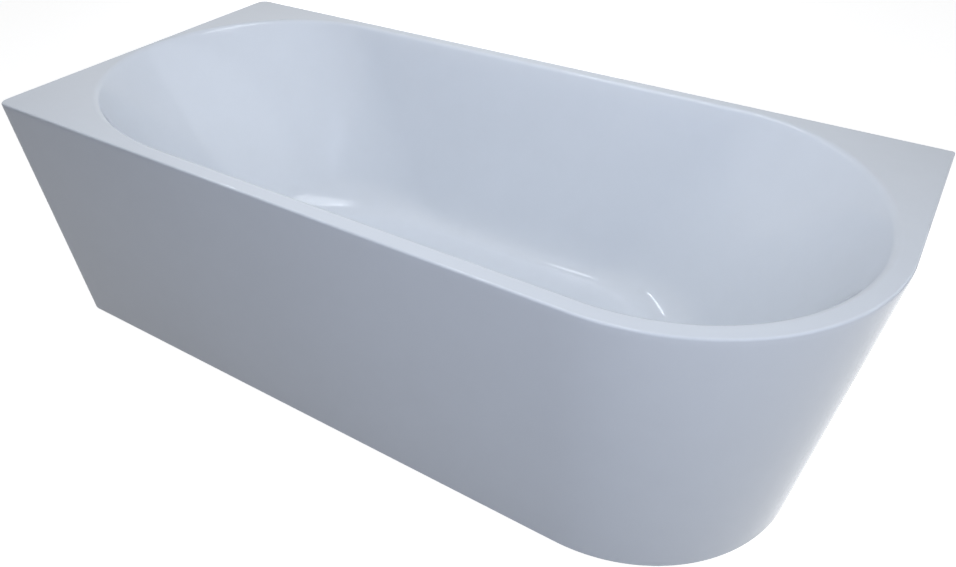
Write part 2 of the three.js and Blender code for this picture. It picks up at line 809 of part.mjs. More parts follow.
// The hose from the overflow's socket down behind the skirt and in to the waste's socket.
function overflowHose() {
  const along = (distance) => {
    return new THREE.Vector3(0, distance, hoseLevel).applyMatrix4(overflowPlace);
  };
  const start = along(overflowSocketLength - hoseGrip);
  const low = new THREE.Vector3(0, wasteY - socketReach + hoseGrip, socketZ);
  const down = along(overflowSocketLength).sub(start).normalize();
  const corner = start.clone().addScaledVector(down, (socketZ - start.z) / down.z);
  const hoseBend = (low.y - corner.y) * hoseBendShare;
  const bendStart = corner.clone().addScaledVector(down, -hoseBend);
  const bendEnd = new THREE.Vector3(0, corner.y + hoseBend, socketZ);
  const path = pathOf(
    new THREE.LineCurve3(start, bendStart),
    new THREE.QuadraticBezierCurve3(bendStart, corner, bendEnd),
    new THREE.LineCurve3(bendEnd, low),
  );
  return pipeAlong(path, hoseRadius, hoseRadius - hoseWall, hoseSteps);
}

const bath = new THREE.Group();

bath.add(
  piece("bath_shell", geometryOf(bathShell()), "acrylic"),
  piece("outer_skirt", geometryOf(outerSkirt()), "skirt"),
  piece("base_board", geometryOf(baseBoard()), "chipboard"),
  piece("deck_stiffener_front_left", geometryOf(deckStiffener(-1, -1)), "plywood"),
  piece("deck_stiffener_back_left", geometryOf(deckStiffener(-1, 1)), "plywood"),
  piece("deck_stiffener_back_right", geometryOf(deckStiffener(1, 1)), "plywood"),
);

crosses.forEach((cross, i) => {
  bath.add(piece(`frame_cross_${i + 1}`, geometryOf(crossTube(cross)), "steel"));
  const tie = piece(`skirt_bracket_${i + 1}`, bracket(crossTop - tube / 2), "zinc");
  tie.position.set(cross.x, cross.front, 0);
  bath.add(tie);
});
rails.forEach((place, i) => {
  bath.add(piece(i ? "frame_rail_back" : "frame_rail_front", rail(place), "steel"));
  const tie = piece(`skirt_bracket_${crosses.length + i + 1}`, bracket(railMiddle), "zinc");
  tie.position.set(place.right, place.y, 0);
  tie.rotation.z = Math.PI / 2;
  bath.add(tie);
});

const [leftCross, rightCross] = [crosses[0], crosses.at(-1)];
bath.add(
  piece("frame_post_front_left", postAt(leftCross.x, leftCross.front + post / 2), "steel"),
  piece("frame_post_back_left", postAt(leftCross.x, leftCross.back - post / 2), "steel"),
  piece("frame_post_back_right", postAt(rightCross.x, rightCross.back - post / 2), "steel"),
);

feet.forEach((foot, i) => {
  const place = [foot.cross.x, foot.y, 0];
  bath.add(
    piece(`foot_pad_${i + 1}`, footPad(), "padPlastic", place),
    piece(`foot_rod_${i + 1}`, footRod(), "zinc", place),
    piece(`foot_locknut_${i + 1}`, lockNut(), "zinc", place),
  );
});

const waste = new THREE.Group();
waste.position.set(0, wasteY, 0);
const sealInner = wasteTubeRadius + gap;
const outletNut = piece("trap_outlet_nut", unionNut(pipeRadius, pipeBore), "nutPlastic");
outletNut.rotation.x = -Math.PI / 2;
outletNut.position.set(0, outletY + gap - unionLip, outletZ);
const hoseNut = piece("hose_nut", unionNut(socketRadius + socketWall, hoseRadius), "nutPlastic");
hoseNut.rotation.x = Math.PI / 2;
hoseNut.position.set(0, -socketReach - gap + unionLip, socketZ);
const plugSeal = ringSolid(wasteBore + gap, seatRadius - gap, seatTop + gap, plugLow - gap);
waste.add(
  piece("waste_flange", wasteFlange(), "chrome"),
  piece("waste_plug", wastePlug(), "chrome"),
  piece("plug_seal", plugSeal, "rubber"),
  piece("waste_cartridge", wasteCartridge(), "brass"),
  piece("waste_seal", ringSolid(sealInner, cupRadius, sealTop - sealThickness, sealTop), "rubber"),
  piece("waste_body", wasteBody(), "pipePlastic"),
  piece("trap", trap(), "pipePlastic"),
  outletNut,
  hoseNut,
);
bath.add(waste);

const overflow = new THREE.Group();
overflow.applyMatrix4(overflowPlace);
const overflowSealTop = -shellWall - gap;
const overflowSeal = ringSolid(
  overflowHoleRadius, overflowFlange, overflowSealTop - sealThickness, overflowSealTop,
);
overflow.add(
  piece("overflow_cover", geometryOf(overflowCover()), "chrome"),
  piece("overflow_seal", overflowSeal, "rubber"),
  piece("overflow_body", overflowBody(), "pipePlastic"),
);
bath.add(overflow);
bath.add(piece("overflow_hose", overflowHose(), "pipePlastic"));

export default bath;
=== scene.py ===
"""The finished look of an asymmetric bath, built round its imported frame.

Metres, +Z up, with the origin on the floor under the middle of the deck. +X runs to the rounded end, and
+Y to the wall behind the bath.
"""

from __future__ import annotations

import logging
import math
from dataclasses import dataclass
from enum import Enum
from typing import Callable, Sequence

import bmesh
import bpy
from bmesh.types import BMEdge, BMesh, BMFace, BMVert
from mathutils import Matrix, Vector


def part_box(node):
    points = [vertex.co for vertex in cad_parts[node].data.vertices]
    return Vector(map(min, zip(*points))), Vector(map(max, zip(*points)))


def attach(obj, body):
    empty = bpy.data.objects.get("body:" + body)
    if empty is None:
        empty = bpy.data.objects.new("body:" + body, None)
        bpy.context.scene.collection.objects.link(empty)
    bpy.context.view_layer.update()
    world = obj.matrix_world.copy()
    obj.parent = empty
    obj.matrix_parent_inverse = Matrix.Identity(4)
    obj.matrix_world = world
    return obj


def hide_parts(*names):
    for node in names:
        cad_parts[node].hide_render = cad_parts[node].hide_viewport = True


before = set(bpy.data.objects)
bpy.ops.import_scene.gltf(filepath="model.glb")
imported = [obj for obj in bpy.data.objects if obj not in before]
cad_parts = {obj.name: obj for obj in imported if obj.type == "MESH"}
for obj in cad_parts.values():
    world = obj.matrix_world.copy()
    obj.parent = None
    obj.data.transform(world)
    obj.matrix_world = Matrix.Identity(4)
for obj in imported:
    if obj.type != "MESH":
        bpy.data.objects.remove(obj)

LOG = logging.getLogger("bath")
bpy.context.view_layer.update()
QUARTER, TURN = math.pi / 2, 2 * math.pi
WELD = 1e-6
# In degrees: faces that bend less are one flat face, and edges that bend more are rounded or stay sharp.
FLAT_ANGLE, SOFT_ANGLE, SHARP_ANGLE = 0.5, 32.0, 35.0
# Where the middle point of a rounding lies, as a share of its width.
MIDWAY = 0.3

Ring = list[Vector]
Loop = list[BMVert]
Pair = tuple[float, float]
Triple = Colour = tuple[float, float, float]
Four = tuple[float, float, float, float]


class Body(Enum):
    """The bodies that a piece can ride on, apart from those of the feet."""

    BATH = "bath"
    PLUG = "plug"


class Slot(Enum):
    """The finishes that a piece's role can name."""

    ACRYLIC = "acrylic"
    SKIRT = "skirt"
    BOARD = "board"
    PLYWOOD = "plywood"
    FRAME = "frame"
    BRACKET = "bracket"
    PAD = "pad"
    ZINC = "zinc"
    CHROME = "chrome"
    SEAL = "seal"
    BRASS = "brass"
    NUT = "nut"
    PIPE = "pipe"


# Shaping


@dataclass(frozen=True)
class Role:
    """What a finished piece is, and what it stands for."""

    slot: Slot
    finishes: tuple[bpy.types.Material, ...]
    nodes: tuple[str, ...] = ()
    body: str = Body.BATH.value


def lerp(start: float, end: float, share: float) -> float:
    """Returns the value a share of the way from start to end."""
    return start + (end - start) * share


def arc(middle: Pair, radii: Pair, angles: Pair, steps: int) -> list[Pair]:
    """Returns the points along an arc of an ellipse from one angle to the other, both ends among them."""
    spread = (lerp(*angles, i / steps) for i in range(steps + 1))
    return [(middle[0] + radii[0] * math.cos(a), middle[1] + radii[1] * math.sin(a)) for a in spread]


def between(start: Pair, end: Pair, shares: Sequence[float]) -> list[Pair]:
    """Returns points on a straight line, at shares of the way along it."""
    return [(lerp(start[0], end[0], s), lerp(start[1], end[1], s)) for s in shares]


def lifted(outline: Sequence[Pair], z: float) -> Ring:
    """Lifts a flat outline to a height."""
    return [Vector((x, y, z)) for x, y in outline]


def raised(z: float, profile: Sequence[Pair]) -> list[Pair]:
    """Raises a lathe profile by a height."""
    return [(radius, level + z) for radius, level in profile]


def circle(radius: float, z: float, steps: int, middle: Pair = (0.0, 0.0)) -> Ring:
    """Returns a level ring of points round a middle."""
    return lifted(arc(middle, (radius, radius), (0.0, TURN), steps)[:-1], z)


def blended(rings: tuple[Ring, Ring, Ring], share: float) -> Ring:
    """Returns the ring a share of the way round the bend that three rings steer."""
    a, b, c = (1 - share) ** 2, 2 * share * (1 - share), share**2
    return [p * a + q * b + r * c for p, q, r in zip(*rings)]


class Workpiece:
    """A mesh while it is being shaped."""

    def __init__(self, name: str) -> None:
        """Starts an empty mesh for the piece of that name."""
        self.name = name
        self.mesh: BMesh = bmesh.new()

    @classmethod
    def copied(cls, name: str, node: str) -> Workpiece:
        """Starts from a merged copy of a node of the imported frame.

        Args:
            name: The new piece's name.
            node: The node to copy.

        Returns:
            The workpiece, with its flat faces made whole.
        """
        work = cls(name)
        work.mesh.from_mesh(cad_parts[node].data)
        bmesh.ops.remove_doubles(work.mesh, verts=work.mesh.verts, dist=20 * WELD)
        flat = math.radians(FLAT_ANGLE)
        bmesh.ops.dissolve_limit(work.mesh, angle_limit=flat, verts=work.mesh.verts, edges=work.mesh.edges)
        return work

    def ring(self, points: Ring) -> Loop:
        """Lays a closed loop of edges.

        Args:
            points: Where its corners go.

        Returns:
            The loop's corners.
        """
        verts = [self.mesh.verts.new(point) for point in points]
        for first, second in zip(verts, verts[1:] + verts[:1]):
            self.mesh.edges.new((first, second))
        return verts

    def edges_of(self, ring: Loop) -> list[BMEdge]:
        """Returns the edges of a closed loop."""
        pairs = zip(ring, ring[1:] + ring[:1])
        return [edge for pair in pairs if (edge := self.mesh.edges.get(pair))]

    def extend(self, ring: Loop, points: Ring, finish: int = 0) -> Loop:
        """Extrudes a loop and moves the new one onto its points.

        Args:
            ring: The loop to extrude.
            points: Where its new corners go.
            finish: The material number of the new faces.

        Returns:
            The new loop's corners, in the old one's order.
        """
        made = bmesh.ops.extrude_edge_only(self.mesh, edges=self.edges_of(ring))["geom"]
        fresh = {part for part in made if isinstance(part, BMVert)}
        moved = []
        for old, point in zip(ring, points):
            twin = next(edge.other_vert(old) for edge in old.link_edges if edge.other_vert(old) in fresh)
            twin.co = point
            moved.append(twin)
        for face in (part for part in made if isinstance(part, BMFace)):
            face.material_index = finish
        return moved

    def skin(self, rings: Sequence[Ring], finish: int = 0) -> tuple[Loop, Loop]:
        """Skins a row of rings.

        Args:
            rings: The rings, all with the same number of points.
            finish: The material number of the faces.

        Returns:
            The corners of the first loop and of the last one.
        """
        first = last = self.ring(rings[0])
        for points in rings[1:]:
            last = self.extend(last, points, finish)
        return first, last

    def join(self, first: Loop, second: Loop, finish: int = 0) -> None:
        """Joins two loops, corner by corner."""
        met = self.extend(first, [corner.co.copy() for corner in second], finish)
        bmesh.ops.weld_verts(self.mesh, targetmap=dict(zip(met, second)))

    def fill(self, *rings: Loop, finish: int = 0) -> None:
        """Fills the flat area inside the first loop and outside the others.

        Args:
            rings: The corners of the loops.
            finish: The material number of the faces.
        """
        edges = [edge for ring in rings for edge in self.edges_of(ring)]
        made = bmesh.ops.triangle_fill(self.mesh, edges=edges, use_beauty=True, use_dissolve=False)
        for face in (part for part in made["geom"] if isinstance(part, BMFace)):
            face.material_index = finish

    def closed(self, rings: Sequence[Ring]) -> None:
        """Skins a row of rings and fills both ends.

        Args:
            rings: The rings, all with the same number of points.
        """
        first, last = self.skin(rings)
        self.fill(first)
        self.fill(last)

    def hoop(self, rings: Sequence[Ring]) -> None:
        """Skins a row of rings and joins the last one to the first."""
        first, last = self.skin(rings)
        self.join(first, last)

    def spin(self, profile: Sequence[Pair], steps: int = 96, middle: Vector = Vector()) -> None:
        """Spins a profile round the vertical.

        Args:
            profile: Points of (radius, height), from axis to axis or round a closed section.
            steps: How many steps a full turn has.
            middle: Where the axis stands, and the level of height 0.
        """
        verts = [self.mesh.verts.new(middle + Vector((r, 0, z))) for r, z in profile]
        ends = [] if profile[0][0] == profile[-1][0] == 0 else [(verts[-1], verts[0])]
        edges = [self.mesh.edges.new(pair) for pair in [*zip(verts, verts[1:]), *ends]]
        bmesh.ops.spin(
            self.mesh,
            geom=verts + edges,
            cent=middle,
            axis=(0, 0, 1),
            dvec=(0, 0, 0),
            angle=TURN,
            steps=steps,
            use_merge=True,
        )
        bmesh.ops.remove_doubles(self.mesh, verts=self.mesh.verts, dist=WELD)

    def soften(self, width: float, segments: int = 2, keep: Callable[[BMEdge], bool] | None = None) -> None:
        """Rounds the sharp edges.

        Args:
            width: How far the rounding reaches from the edge.
            segments: How many faces it has.
            keep: Picks the edges to round. All sharp ones are, without it.
        """
        sharp = [
            edge
            for edge in self.mesh.edges
            if len(edge.link_faces) == 2
            and edge.calc_face_angle(0.0) > math.radians(SOFT_ANGLE)
            and (keep is None or keep(edge))
        ]
        bmesh.ops.bevel(
            self.mesh,
            geom=sharp,
            offset=width,
            offset_type="OFFSET",
            segments=segments,
            profile=0.5,
            affect="EDGES",
            clamp_overlap=True,
            material=-1,
        )

    def shape(self) -> bpy.types.Mesh:
        """Ends the shaping.

        Returns:
            The mesh as it is, for a piece or for a copy in another workpiece.
        """
        data = bpy.data.meshes.new(self.name)
        self.mesh.to_mesh(data)
        self.mesh.free()
        return data

    def take(self, part: Workpiece) -> None:
        """Adds the whole of another workpiece, which ends that one.

        Args:
            part: The workpiece to take in.
        """
        data = part.shape()
        self.mesh.from_mesh(data)
        bpy.data.meshes.remove(data)

    def finish(self, role: Role, place: Matrix | None = None, sharp: float = SHARP_ANGLE) -> bpy.types.Object:
        """Turns the mesh into a piece of the bath.

        Args:
            role: What it rides on, stands for and is made of.
            place: Where it goes, if it was shaped elsewhere.
            sharp: Edges that bend by more degrees than this stay sharp.

        Returns:
            The finished object, at the origin.
        """
        bmesh.ops.recalc_face_normals(self.mesh, faces=self.mesh.faces)
        data = self.shape()
        data.transform(place or Matrix.Identity(4))
        data.shade_smooth()
        data.set_sharp_from_angle(angle=math.radians(sharp))
        for material in role.finishes:
            data.materials.append(material)
        piece = bpy.data.objects.new(self.name, data)
        bpy.context.scene.collection.objects.link(piece)
        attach(piece, role.body)
        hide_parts(*role.nodes)
        LOG.info("%s: %d faces", self.name, len(data.polygons))
        return piece


def carved(piece: bpy.types.Object, cutter: Workpiece) -> None:
    """Cuts a solid out of a piece.

    Args:
        piece: The piece to cut.
        cutter: The solid that is taken away.
    """
    bmesh.ops.recalc_face_normals(cutter.mesh, faces=cutter.mesh.faces)
    tool = bpy.data.objects.new(cutter.name, cutter.shape())
    bpy.context.scene.collection.objects.link(tool)
    cut = piece.modifiers.new("cut", "BOOLEAN")
    cut.object, cut.operation, cut.solver = tool, "DIFFERENCE", "EXACT"
    bpy.context.view_layer.update()
    shaped = piece.evaluated_get(bpy.context.evaluated_depsgraph_get())
    result = bpy.data.meshes.new_from_object(shaped)
    piece.modifiers.remove(cut)
    bpy.data.objects.remove(tool)
    piece.data = result
    result.shade_smooth()
    result.set_sharp_from_angle(angle=math.radians(SHARP_ANGLE))


def sweep(path: Sequence[Vector], radius: Callable[[float], float], sides: int) -> list[Ring]:
    """Works out rings along a path that stays in a plane of constant x.

    Args:
        path: The points of the path.
        radius: Gives the ring's radius at a distance along the path.
        sides: How many corners a ring has.

    Returns:
        One ring for each point.
    """
    rings, gone = [], 0.0
    across = Vector((1, 0, 0))
    for i, point in enumerate(path):
        gone += (point - path[i - 1]).length if i else 0.0
        ahead = (path[min(i + 1, len(path) - 1)] - path[max(i - 1, 0)]).normalized()
        up = across.cross(ahead)
        size = radius(gone)
        angles = (TURN * k / sides for k in range(sides))
        rings.append([point + across * (size * math.cos(a)) + up * (size * math.sin(a)) for a in angles])
    return rings


# Node trees

Wire = bpy.types.NodeSocket
Wires = dict[str, Wire]
Surface = tuple[Wire, Wire, Wire]
Value = float | tuple | Wire


class Graph:
    """A node tree with short calls for adding nodes."""

    def __init__(self, tree: bpy.types.NodeTree) -> None:
        """Keeps the tree that nodes are added to."""
        self.tree = tree

    def node(
        self, kind: str, inputs: dict[str | int, Value] | None = None, **settings: object
    ) -> bpy.types.Node:
        """Adds a node.

        Args:
            kind: The node's type, without the words that all shader nodes share.
            inputs: Values or wires for its sockets, by name or number.
            settings: Its own settings.

        Returns:
            The node.
        """
        node = self.tree.nodes.new("ShaderNode" + kind)
        for name, value in settings.items():
            setattr(node, name, value)
        for name, value in (inputs or {}).items():
            if isinstance(value, bpy.types.NodeSocket):
                self.tree.links.new(value, node.inputs[name])
            else:
                node.inputs[name].default_value = value
        return node

    def place(self) -> Wire:
        """Returns the coordinates of the piece."""
        return self.node("TexCoord").outputs["Object"]

    def stretched(self, scale: Triple) -> Wire:
        """Returns the coordinates of the piece, scaled by axis."""
        return self.node("Mapping", {"Vector": self.place(), "Scale": scale}).outputs["Vector"]

    def noise(self, vector: Wire, scale: Value, detail: float = 4.0, rough: float = 0.5) -> Wire:
        """Returns a soft cloudy pattern."""
        inputs = {"Vector": vector, "Scale": scale, "Detail": detail, "Roughness": rough}
        return self.node("TexNoise", inputs).outputs["Fac"]

    def spread(self, value: Wire, low: Value, high: Value, start: Value = 0.3, end: Value = 0.7) -> Wire:
        """Maps the part of a pattern between start and end onto low to high."""
        inputs = {"Value": value, "From Min": start, "From Max": end, "To Min": low, "To Max": high}
        return self.node("MapRange", inputs).outputs["Result"]

    def math(self, operation: str, first: Value, second: Value = 0.5) -> Wire:
        """Returns a sum, product or other result of two values."""
        return self.node("Math", {0: first, 1: second}, operation=operation).outputs[0]

    def mix(self, share: Value, first: Value, second: Value) -> Wire:
        """Returns a mix of two colours."""
        return self.node("Mix", {0: share, 6: first, 7: second}, data_type="RGBA").outputs[2]

    def bump(self, height: Wire, strength: float, distance: float, under: Wire | None = None) -> Wire:
        """Gives a surface a relief.

        Args:
            height: The relief's height.
            strength: The share of it that shows.
            distance: How far the highest place stands above the lowest, in metres.
            under: The normals of a relief that lies under this one.

        Returns:
            The surface's normals.
        """
        inputs = {"Height": height, "Strength": strength, "Distance": distance}
        if under is not None:
            inputs["Normal"] = under
        return self.node("Bump", inputs).outputs["Normal"]


@dataclass
class Effect:
    """A surface effect that several finishes share, built once as a node group."""

    name: str
    inputs: dict[str, float]
    outputs: tuple[str, ...]
    wire: Callable[[Graph, Wires], Wires]
    tree: bpy.types.NodeTree | None = None

    def build(self) -> None:
        """Builds the group with its inputs, their usual values and its outputs."""
        tree = self.tree = bpy.data.node_groups.new(self.name, "ShaderNodeTree")
        for label, usual in self.inputs.items():
            socket = tree.interface.new_socket(label, in_out="INPUT", socket_type="NodeSocketFloat")
            socket.default_value = usual
        for label in self.outputs:
            tree.interface.new_socket(label, in_out="OUTPUT", socket_type="NodeSocketFloat")
        source = tree.nodes.new("NodeGroupInput")
        sink = tree.nodes.new("NodeGroupOutput")
        results = self.wire(Graph(tree), {label: source.outputs[label] for label in self.inputs})
        for label in self.outputs:
            tree.links.new(results[label], sink.inputs[label])

    def place(self, graph: Graph, *values: float) -> bpy.types.Node:
        """Puts the effect into a material.

        Args:
            graph: The material's node tree.
            values: The material's own values for the group's inputs, in their order.

        Returns:
            The group's node.
        """
        if self.tree is None:
            self.build()
        node = graph.tree.nodes.new("ShaderNodeGroup")
        node.node_tree = self.tree
        for socket, value in zip(node.inputs, values):
            socket.default_value = value
        return node

    def put(self, graph: Graph, *values: float) -> Wire:
        """Puts the effect into a material and returns the wire of its first output."""
        return self.place(graph, *values).outputs[0]


def clouds(inner: Graph, given: Wires) -> Wires:
    """Adds up two clouds of different sizes, whose sum drifts between the low and the high value.

    Args:
        inner: The group's own tree.
        given: The wires of its inputs.

    Returns:
        The wires of its outputs.
    """
    broad = inner.noise(inner.place(), given["Scale"], 3.0)
    fine = inner.noise(inner.place(), inner.math("MULTIPLY", given["Scale"], 7.3), 5.0)
    cloud = inner.math("ADD", inner.math("MULTIPLY", broad, 0.7), inner.math("MULTIPLY", fine, 0.3))
    return {"Value": inner.spread(cloud, given["Low"], given["High"], 0.35, 0.65)}


def handling(inner: Graph, given: Wires) -> Wires:
    """Draws thin lines where stretched clouds come within a reach of their middle value.

    Args:
        inner: The group's own tree.
        given: The wires of its inputs.

    Returns:
        The wires of its outputs.
    """
    masks = []
    for stretch in ((1.0, 9.0, 3.0), (8.0, 1.5, 2.0)):
        cloud = inner.noise(inner.stretched(stretch), given["Scale"], 2.0, 0.4)
        off = inner.math("ABSOLUTE", inner.math("SUBTRACT", cloud, 0.5))
        masks.append(inner.spread(off, 1.0, 0.0, 0.0, given["Reach"]))
    patch = inner.spread(inner.noise(inner.place(), 11.0, 2.0), 0.0, 1.0, 0.45, 0.7)
    both = inner.math("MAXIMUM", masks[0], masks[1])
    return {"Mask": inner.math("MULTIPLY", both, patch)}


def settled(inner: Graph, given: Wires) -> Wires:
    """Takes the upward share of the normal, broken up by a cloud.

    Args:
        inner: The group's own tree.
        given: The wires of its inputs.

    Returns:
        The wires of its outputs.
    """
    normal = inner.node("NewGeometry").outputs["Normal"]
    up = inner.node("SeparateXYZ", {"Vector": normal}).outputs["Z"]
    facing = inner.spread(up, 0.0, 1.0, 0.35, 1.0)
    cloud = inner.spread(inner.noise(inner.place(), 34.0, 6.0, 0.65), 0.25, 1.0, 0.35, 0.7)
    return {"Mask": inner.math("MULTIPLY", inner.math("MULTIPLY", facing, cloud), given["Amount"])}


def moulded(inner: Graph, given: Wires) -> Wires:
    """Lays a fine skin over a broad swell, at a share of its height.

    Args:
        inner: The group's own tree.
        given: The wires of its inputs.

    Returns:
        The wires of its outputs.
    """
    swell = inner.noise(inner.place(), given["Scale"], 2.0, 0.4)
    skin = inner.noise(inner.place(), inner.math("MULTIPLY", given["Scale"], 60.0), 2.0)
    fine = inner.math("MULTIPLY", skin, given["Share"])
    return {"Height": inner.math("ADD", swell, fine)}


def cells(inner: Graph, given: Wires) -> Wires:
    """Lays two sizes of cell one over the other, pushed about by a cloud.

    Args:
        inner: The group's own tree.
        given: The wires of its inputs.

    Returns:
        The wires of its outputs.
    """
    cloud = inner.node("TexNoise", {"Vector": inner.place(), "Scale": 60.0}).outputs["Color"]
    pushed = inner.node("VectorMath", {0: cloud, "Scale": 0.012}, operation="SCALE").outputs[0]
    moved = inner.node("VectorMath", {0: inner.place(), 1: pushed}, operation="ADD").outputs[0]
    big = inner.node("TexVoronoi", {"Vector": moved, "Scale": given["Scale"]})
    finer = inner.math("MULTIPLY", given["Scale"], 2.7)
    small = inner.node("TexVoronoi", {"Vector": moved, "Scale": finer})
    big_tone = inner.node("SeparateColor", {0: big.outputs["Color"]}).outputs[0]
    small_tone = inner.node("SeparateColor", {0: small.outputs["Color"]}).outputs[1]
    tone = inner.math("MULTIPLY", inner.math("ADD", big_tone, small_tone), 0.5)
    return {"Tone": tone, "Height": inner.math("ADD", small.outputs["Distance"], tone)}


def chopped(inner: Graph, given: Wires) -> Wires:
    """Turns stretched clouds three ways and keeps the highest of them.

    Args:
        inner: The group's own tree.
        given: The wires of its inputs.

    Returns:
        The wires of its outputs.
    """
    heights = []
    for turn in ((0.2, 0.3, 0.4), (0.9, 0.1, 1.5), (0.1, 1.1, 2.6)):
        inputs = {"Vector": inner.place(), "Rotation": turn, "Scale": (1.0, 14.0, 5.0)}
        lying = inner.node("Mapping", inputs).outputs["Vector"]
        heights.append(inner.noise(lying, given["Scale"], 3.0, 0.6))
    top = inner.math("MAXIMUM", inner.math("MAXIMUM", heights[0], heights[1]), heights[2])
    return {"Height": top}


MOTTLE = Effect("Mottle", {"Scale": 8.0, "Low": 0.0, "High": 1.0}, ("Value",), clouds)
MARKS = Effect("Handling Marks", {"Scale": 20.0, "Reach": 0.004}, ("Mask",), handling)
DUST = Effect("Settled Dust", {"Amount": 0.2}, ("Mask",), settled)
RIPPLE = Effect("Moulded Skin", {"Scale": 6.0, "Share": 0.05}, ("Height",), moulded)
FLAKES = Effect("Flakes", {"Scale": 160.0}, ("Tone", "Height"), cells)
STRANDS = Effect("Chopped Strands", {"Scale": 30.0}, ("Height",), chopped)


@dataclass(frozen=True)
class Finish:
    """A finish: the shader's plain values, and what changes over the surface."""

    name: str
    colour: Colour
    roughness: float
    metallic: float = 0.0
    ior: float = 1.5
    specular: float = 0.5

    def material(self) -> bpy.types.Material:
        """Makes the material.

        Returns:
            The material, with its shader's plain values set and its surface wired.
        """
        material = bpy.data.materials.new(self.name)
        material.use_nodes = True
        material.diffuse_color = self.tint(1.0)
        shader = material.node_tree.nodes["Principled BSDF"]
        shader.inputs["Base Color"].default_value = self.tint(1.0)
        shader.inputs["Roughness"].default_value = self.roughness
        shader.inputs["Metallic"].default_value = self.metallic
        shader.inputs["IOR"].default_value = self.ior
        shader.inputs["Specular IOR Level"].default_value = self.specular
        wires = self.surface(Graph(material.node_tree))
        for label, wire in zip(("Base Color", "Roughness", "Normal"), wires):
            material.node_tree.links.new(wire, shader.inputs[label])
        return material

    def surface(self, graph: Graph) -> Surface:
        """Wires up what changes over the surface, which each finish does in its own way."""
        raise NotImplementedError

    def tint(self, share: float) -> Four:
        """Returns the colour made lighter or darker by a share."""
        return (*(min(c * share, 1.0) for c in self.colour), 1.0)


@dataclass(frozen=True)
class GlossAcrylic(Finish):
    """Cast acrylic: a clear gloss over white, with a faint swell, wipe marks and a little dust."""

    ior: float = 1.49
    specular: float = 0.25
    dust: Colour = (0.62, 0.62, 0.60)
    swell: float = 0.00035

    def surface(self, graph: Graph) -> Surface:
        """Wires up what changes over the surface.

        Args:
            graph: The material's node tree.

        Returns:
            The colour, the roughness and the normals.
        """
        tone = MOTTLE.put(graph, 2.6, 0.0, 1.0)
        white = graph.mix(tone, self.tint(0.985), self.tint(1.012))
        dust = DUST.put(graph, 0.05)
        colour = graph.mix(dust, white, (*self.dust, 1.0))
        marks = graph.math("MULTIPLY", MARKS.put(graph, 26.0, 0.003), 0.05)
        smear = MOTTLE.put(graph, 5.0, self.roughness * 0.8, self.roughness * 1.3)
        rough = graph.math("ADD", graph.math("ADD", smear, marks), graph.math("MULTIPLY", dust, 0.4))
        normal = graph.bump(RIPPLE.put(graph, 5.5, 0.004), 0.35, self.swell)
        return colour, rough, normal


@dataclass(frozen=True)
class Glassfibre(Finish):
    """Chopped strands in resin, as on the back of the acrylic."""

    ior: float = 1.52
    resin: Colour = (0.50, 0.47, 0.36)

    def surface(self, graph: Graph) -> Surface:
        """Wires up what changes over the surface.

        Args:
            graph: The material's node tree.

        Returns:
            The colour, the roughness and the normals.
        """
        strands = STRANDS.put(graph, 26.0)
        pooled = MOTTLE.put(graph, 7.0, 0.0, 1.0)
        base = graph.mix(graph.spread(strands, 0.0, 1.0, 0.5, 0.72), self.tint(0.8), self.tint(1.12))
        colour = graph.mix(graph.math("MULTIPLY", pooled, 0.5), base, (*self.resin, 1.0))
        rough = graph.spread(strands, 0.62, 0.34, 0.5, 0.75)
        normal = graph.bump(strands, 0.8, 0.0012)
        return colour, rough, normal


@dataclass(frozen=True)
class CoatedSteel(Finish):
    """Steel with a zinc coat: grey spangle, dull patches and white bloom."""

    spangle: float = 90.0
    bloom: Colour = (0.52, 0.53, 0.54)

    def surface(self, graph: Graph) -> Surface:
        """Wires up what changes over the surface.

        Args:
            graph: The material's node tree.

        Returns:
            The colour, the roughness and the normals.
        """
        tone, height = FLAKES.place(graph, self.spangle).outputs[:2]
        base = graph.mix(tone, self.tint(0.82), self.tint(1.15))
        bloom = MOTTLE.put(graph, 16.0, 0.0, 0.3)
        colour = graph.mix(bloom, base, (*self.bloom, 1.0))
        marks = MARKS.put(graph, 60.0, 0.006)
        rough = graph.spread(tone, self.roughness * 0.75, self.roughness * 1.25, 0.1, 0.9)
        rough = graph.math("ADD", rough, graph.math("MULTIPLY", marks, 0.15))
        normal = graph.bump(height, 0.12, 0.0003)
        normal = graph.bump(marks, 0.3, 0.0001, normal)
        return colour, rough, normal


@dataclass(frozen=True)
class Polished(Finish):
    """Chrome: bright, with faint wipe marks and a breath of dust."""

    dust: Colour = (0.60, 0.60, 0.58)

    def surface(self, graph: Graph) -> Surface:
        """Wires up what changes over the surface.

        Args:
            graph: The material's node tree.

        Returns:
            The colour, the roughness and the normals.
        """
        dust = DUST.put(graph, 0.06)
        colour = graph.mix(dust, self.tint(1.0), (*self.dust, 1.0))
        marks = MARKS.put(graph, 90.0, 0.004)
        smear = MOTTLE.put(graph, 30.0, self.roughness * 0.7, self.roughness * 1.6)
        rough = graph.math("ADD", graph.math("ADD", smear, dust), graph.math("MULTIPLY", marks, 0.12))
        normal = graph.bump(RIPPLE.put(graph, 40.0, 0.02), 0.05, 0.0002)
        return colour, rough, normal


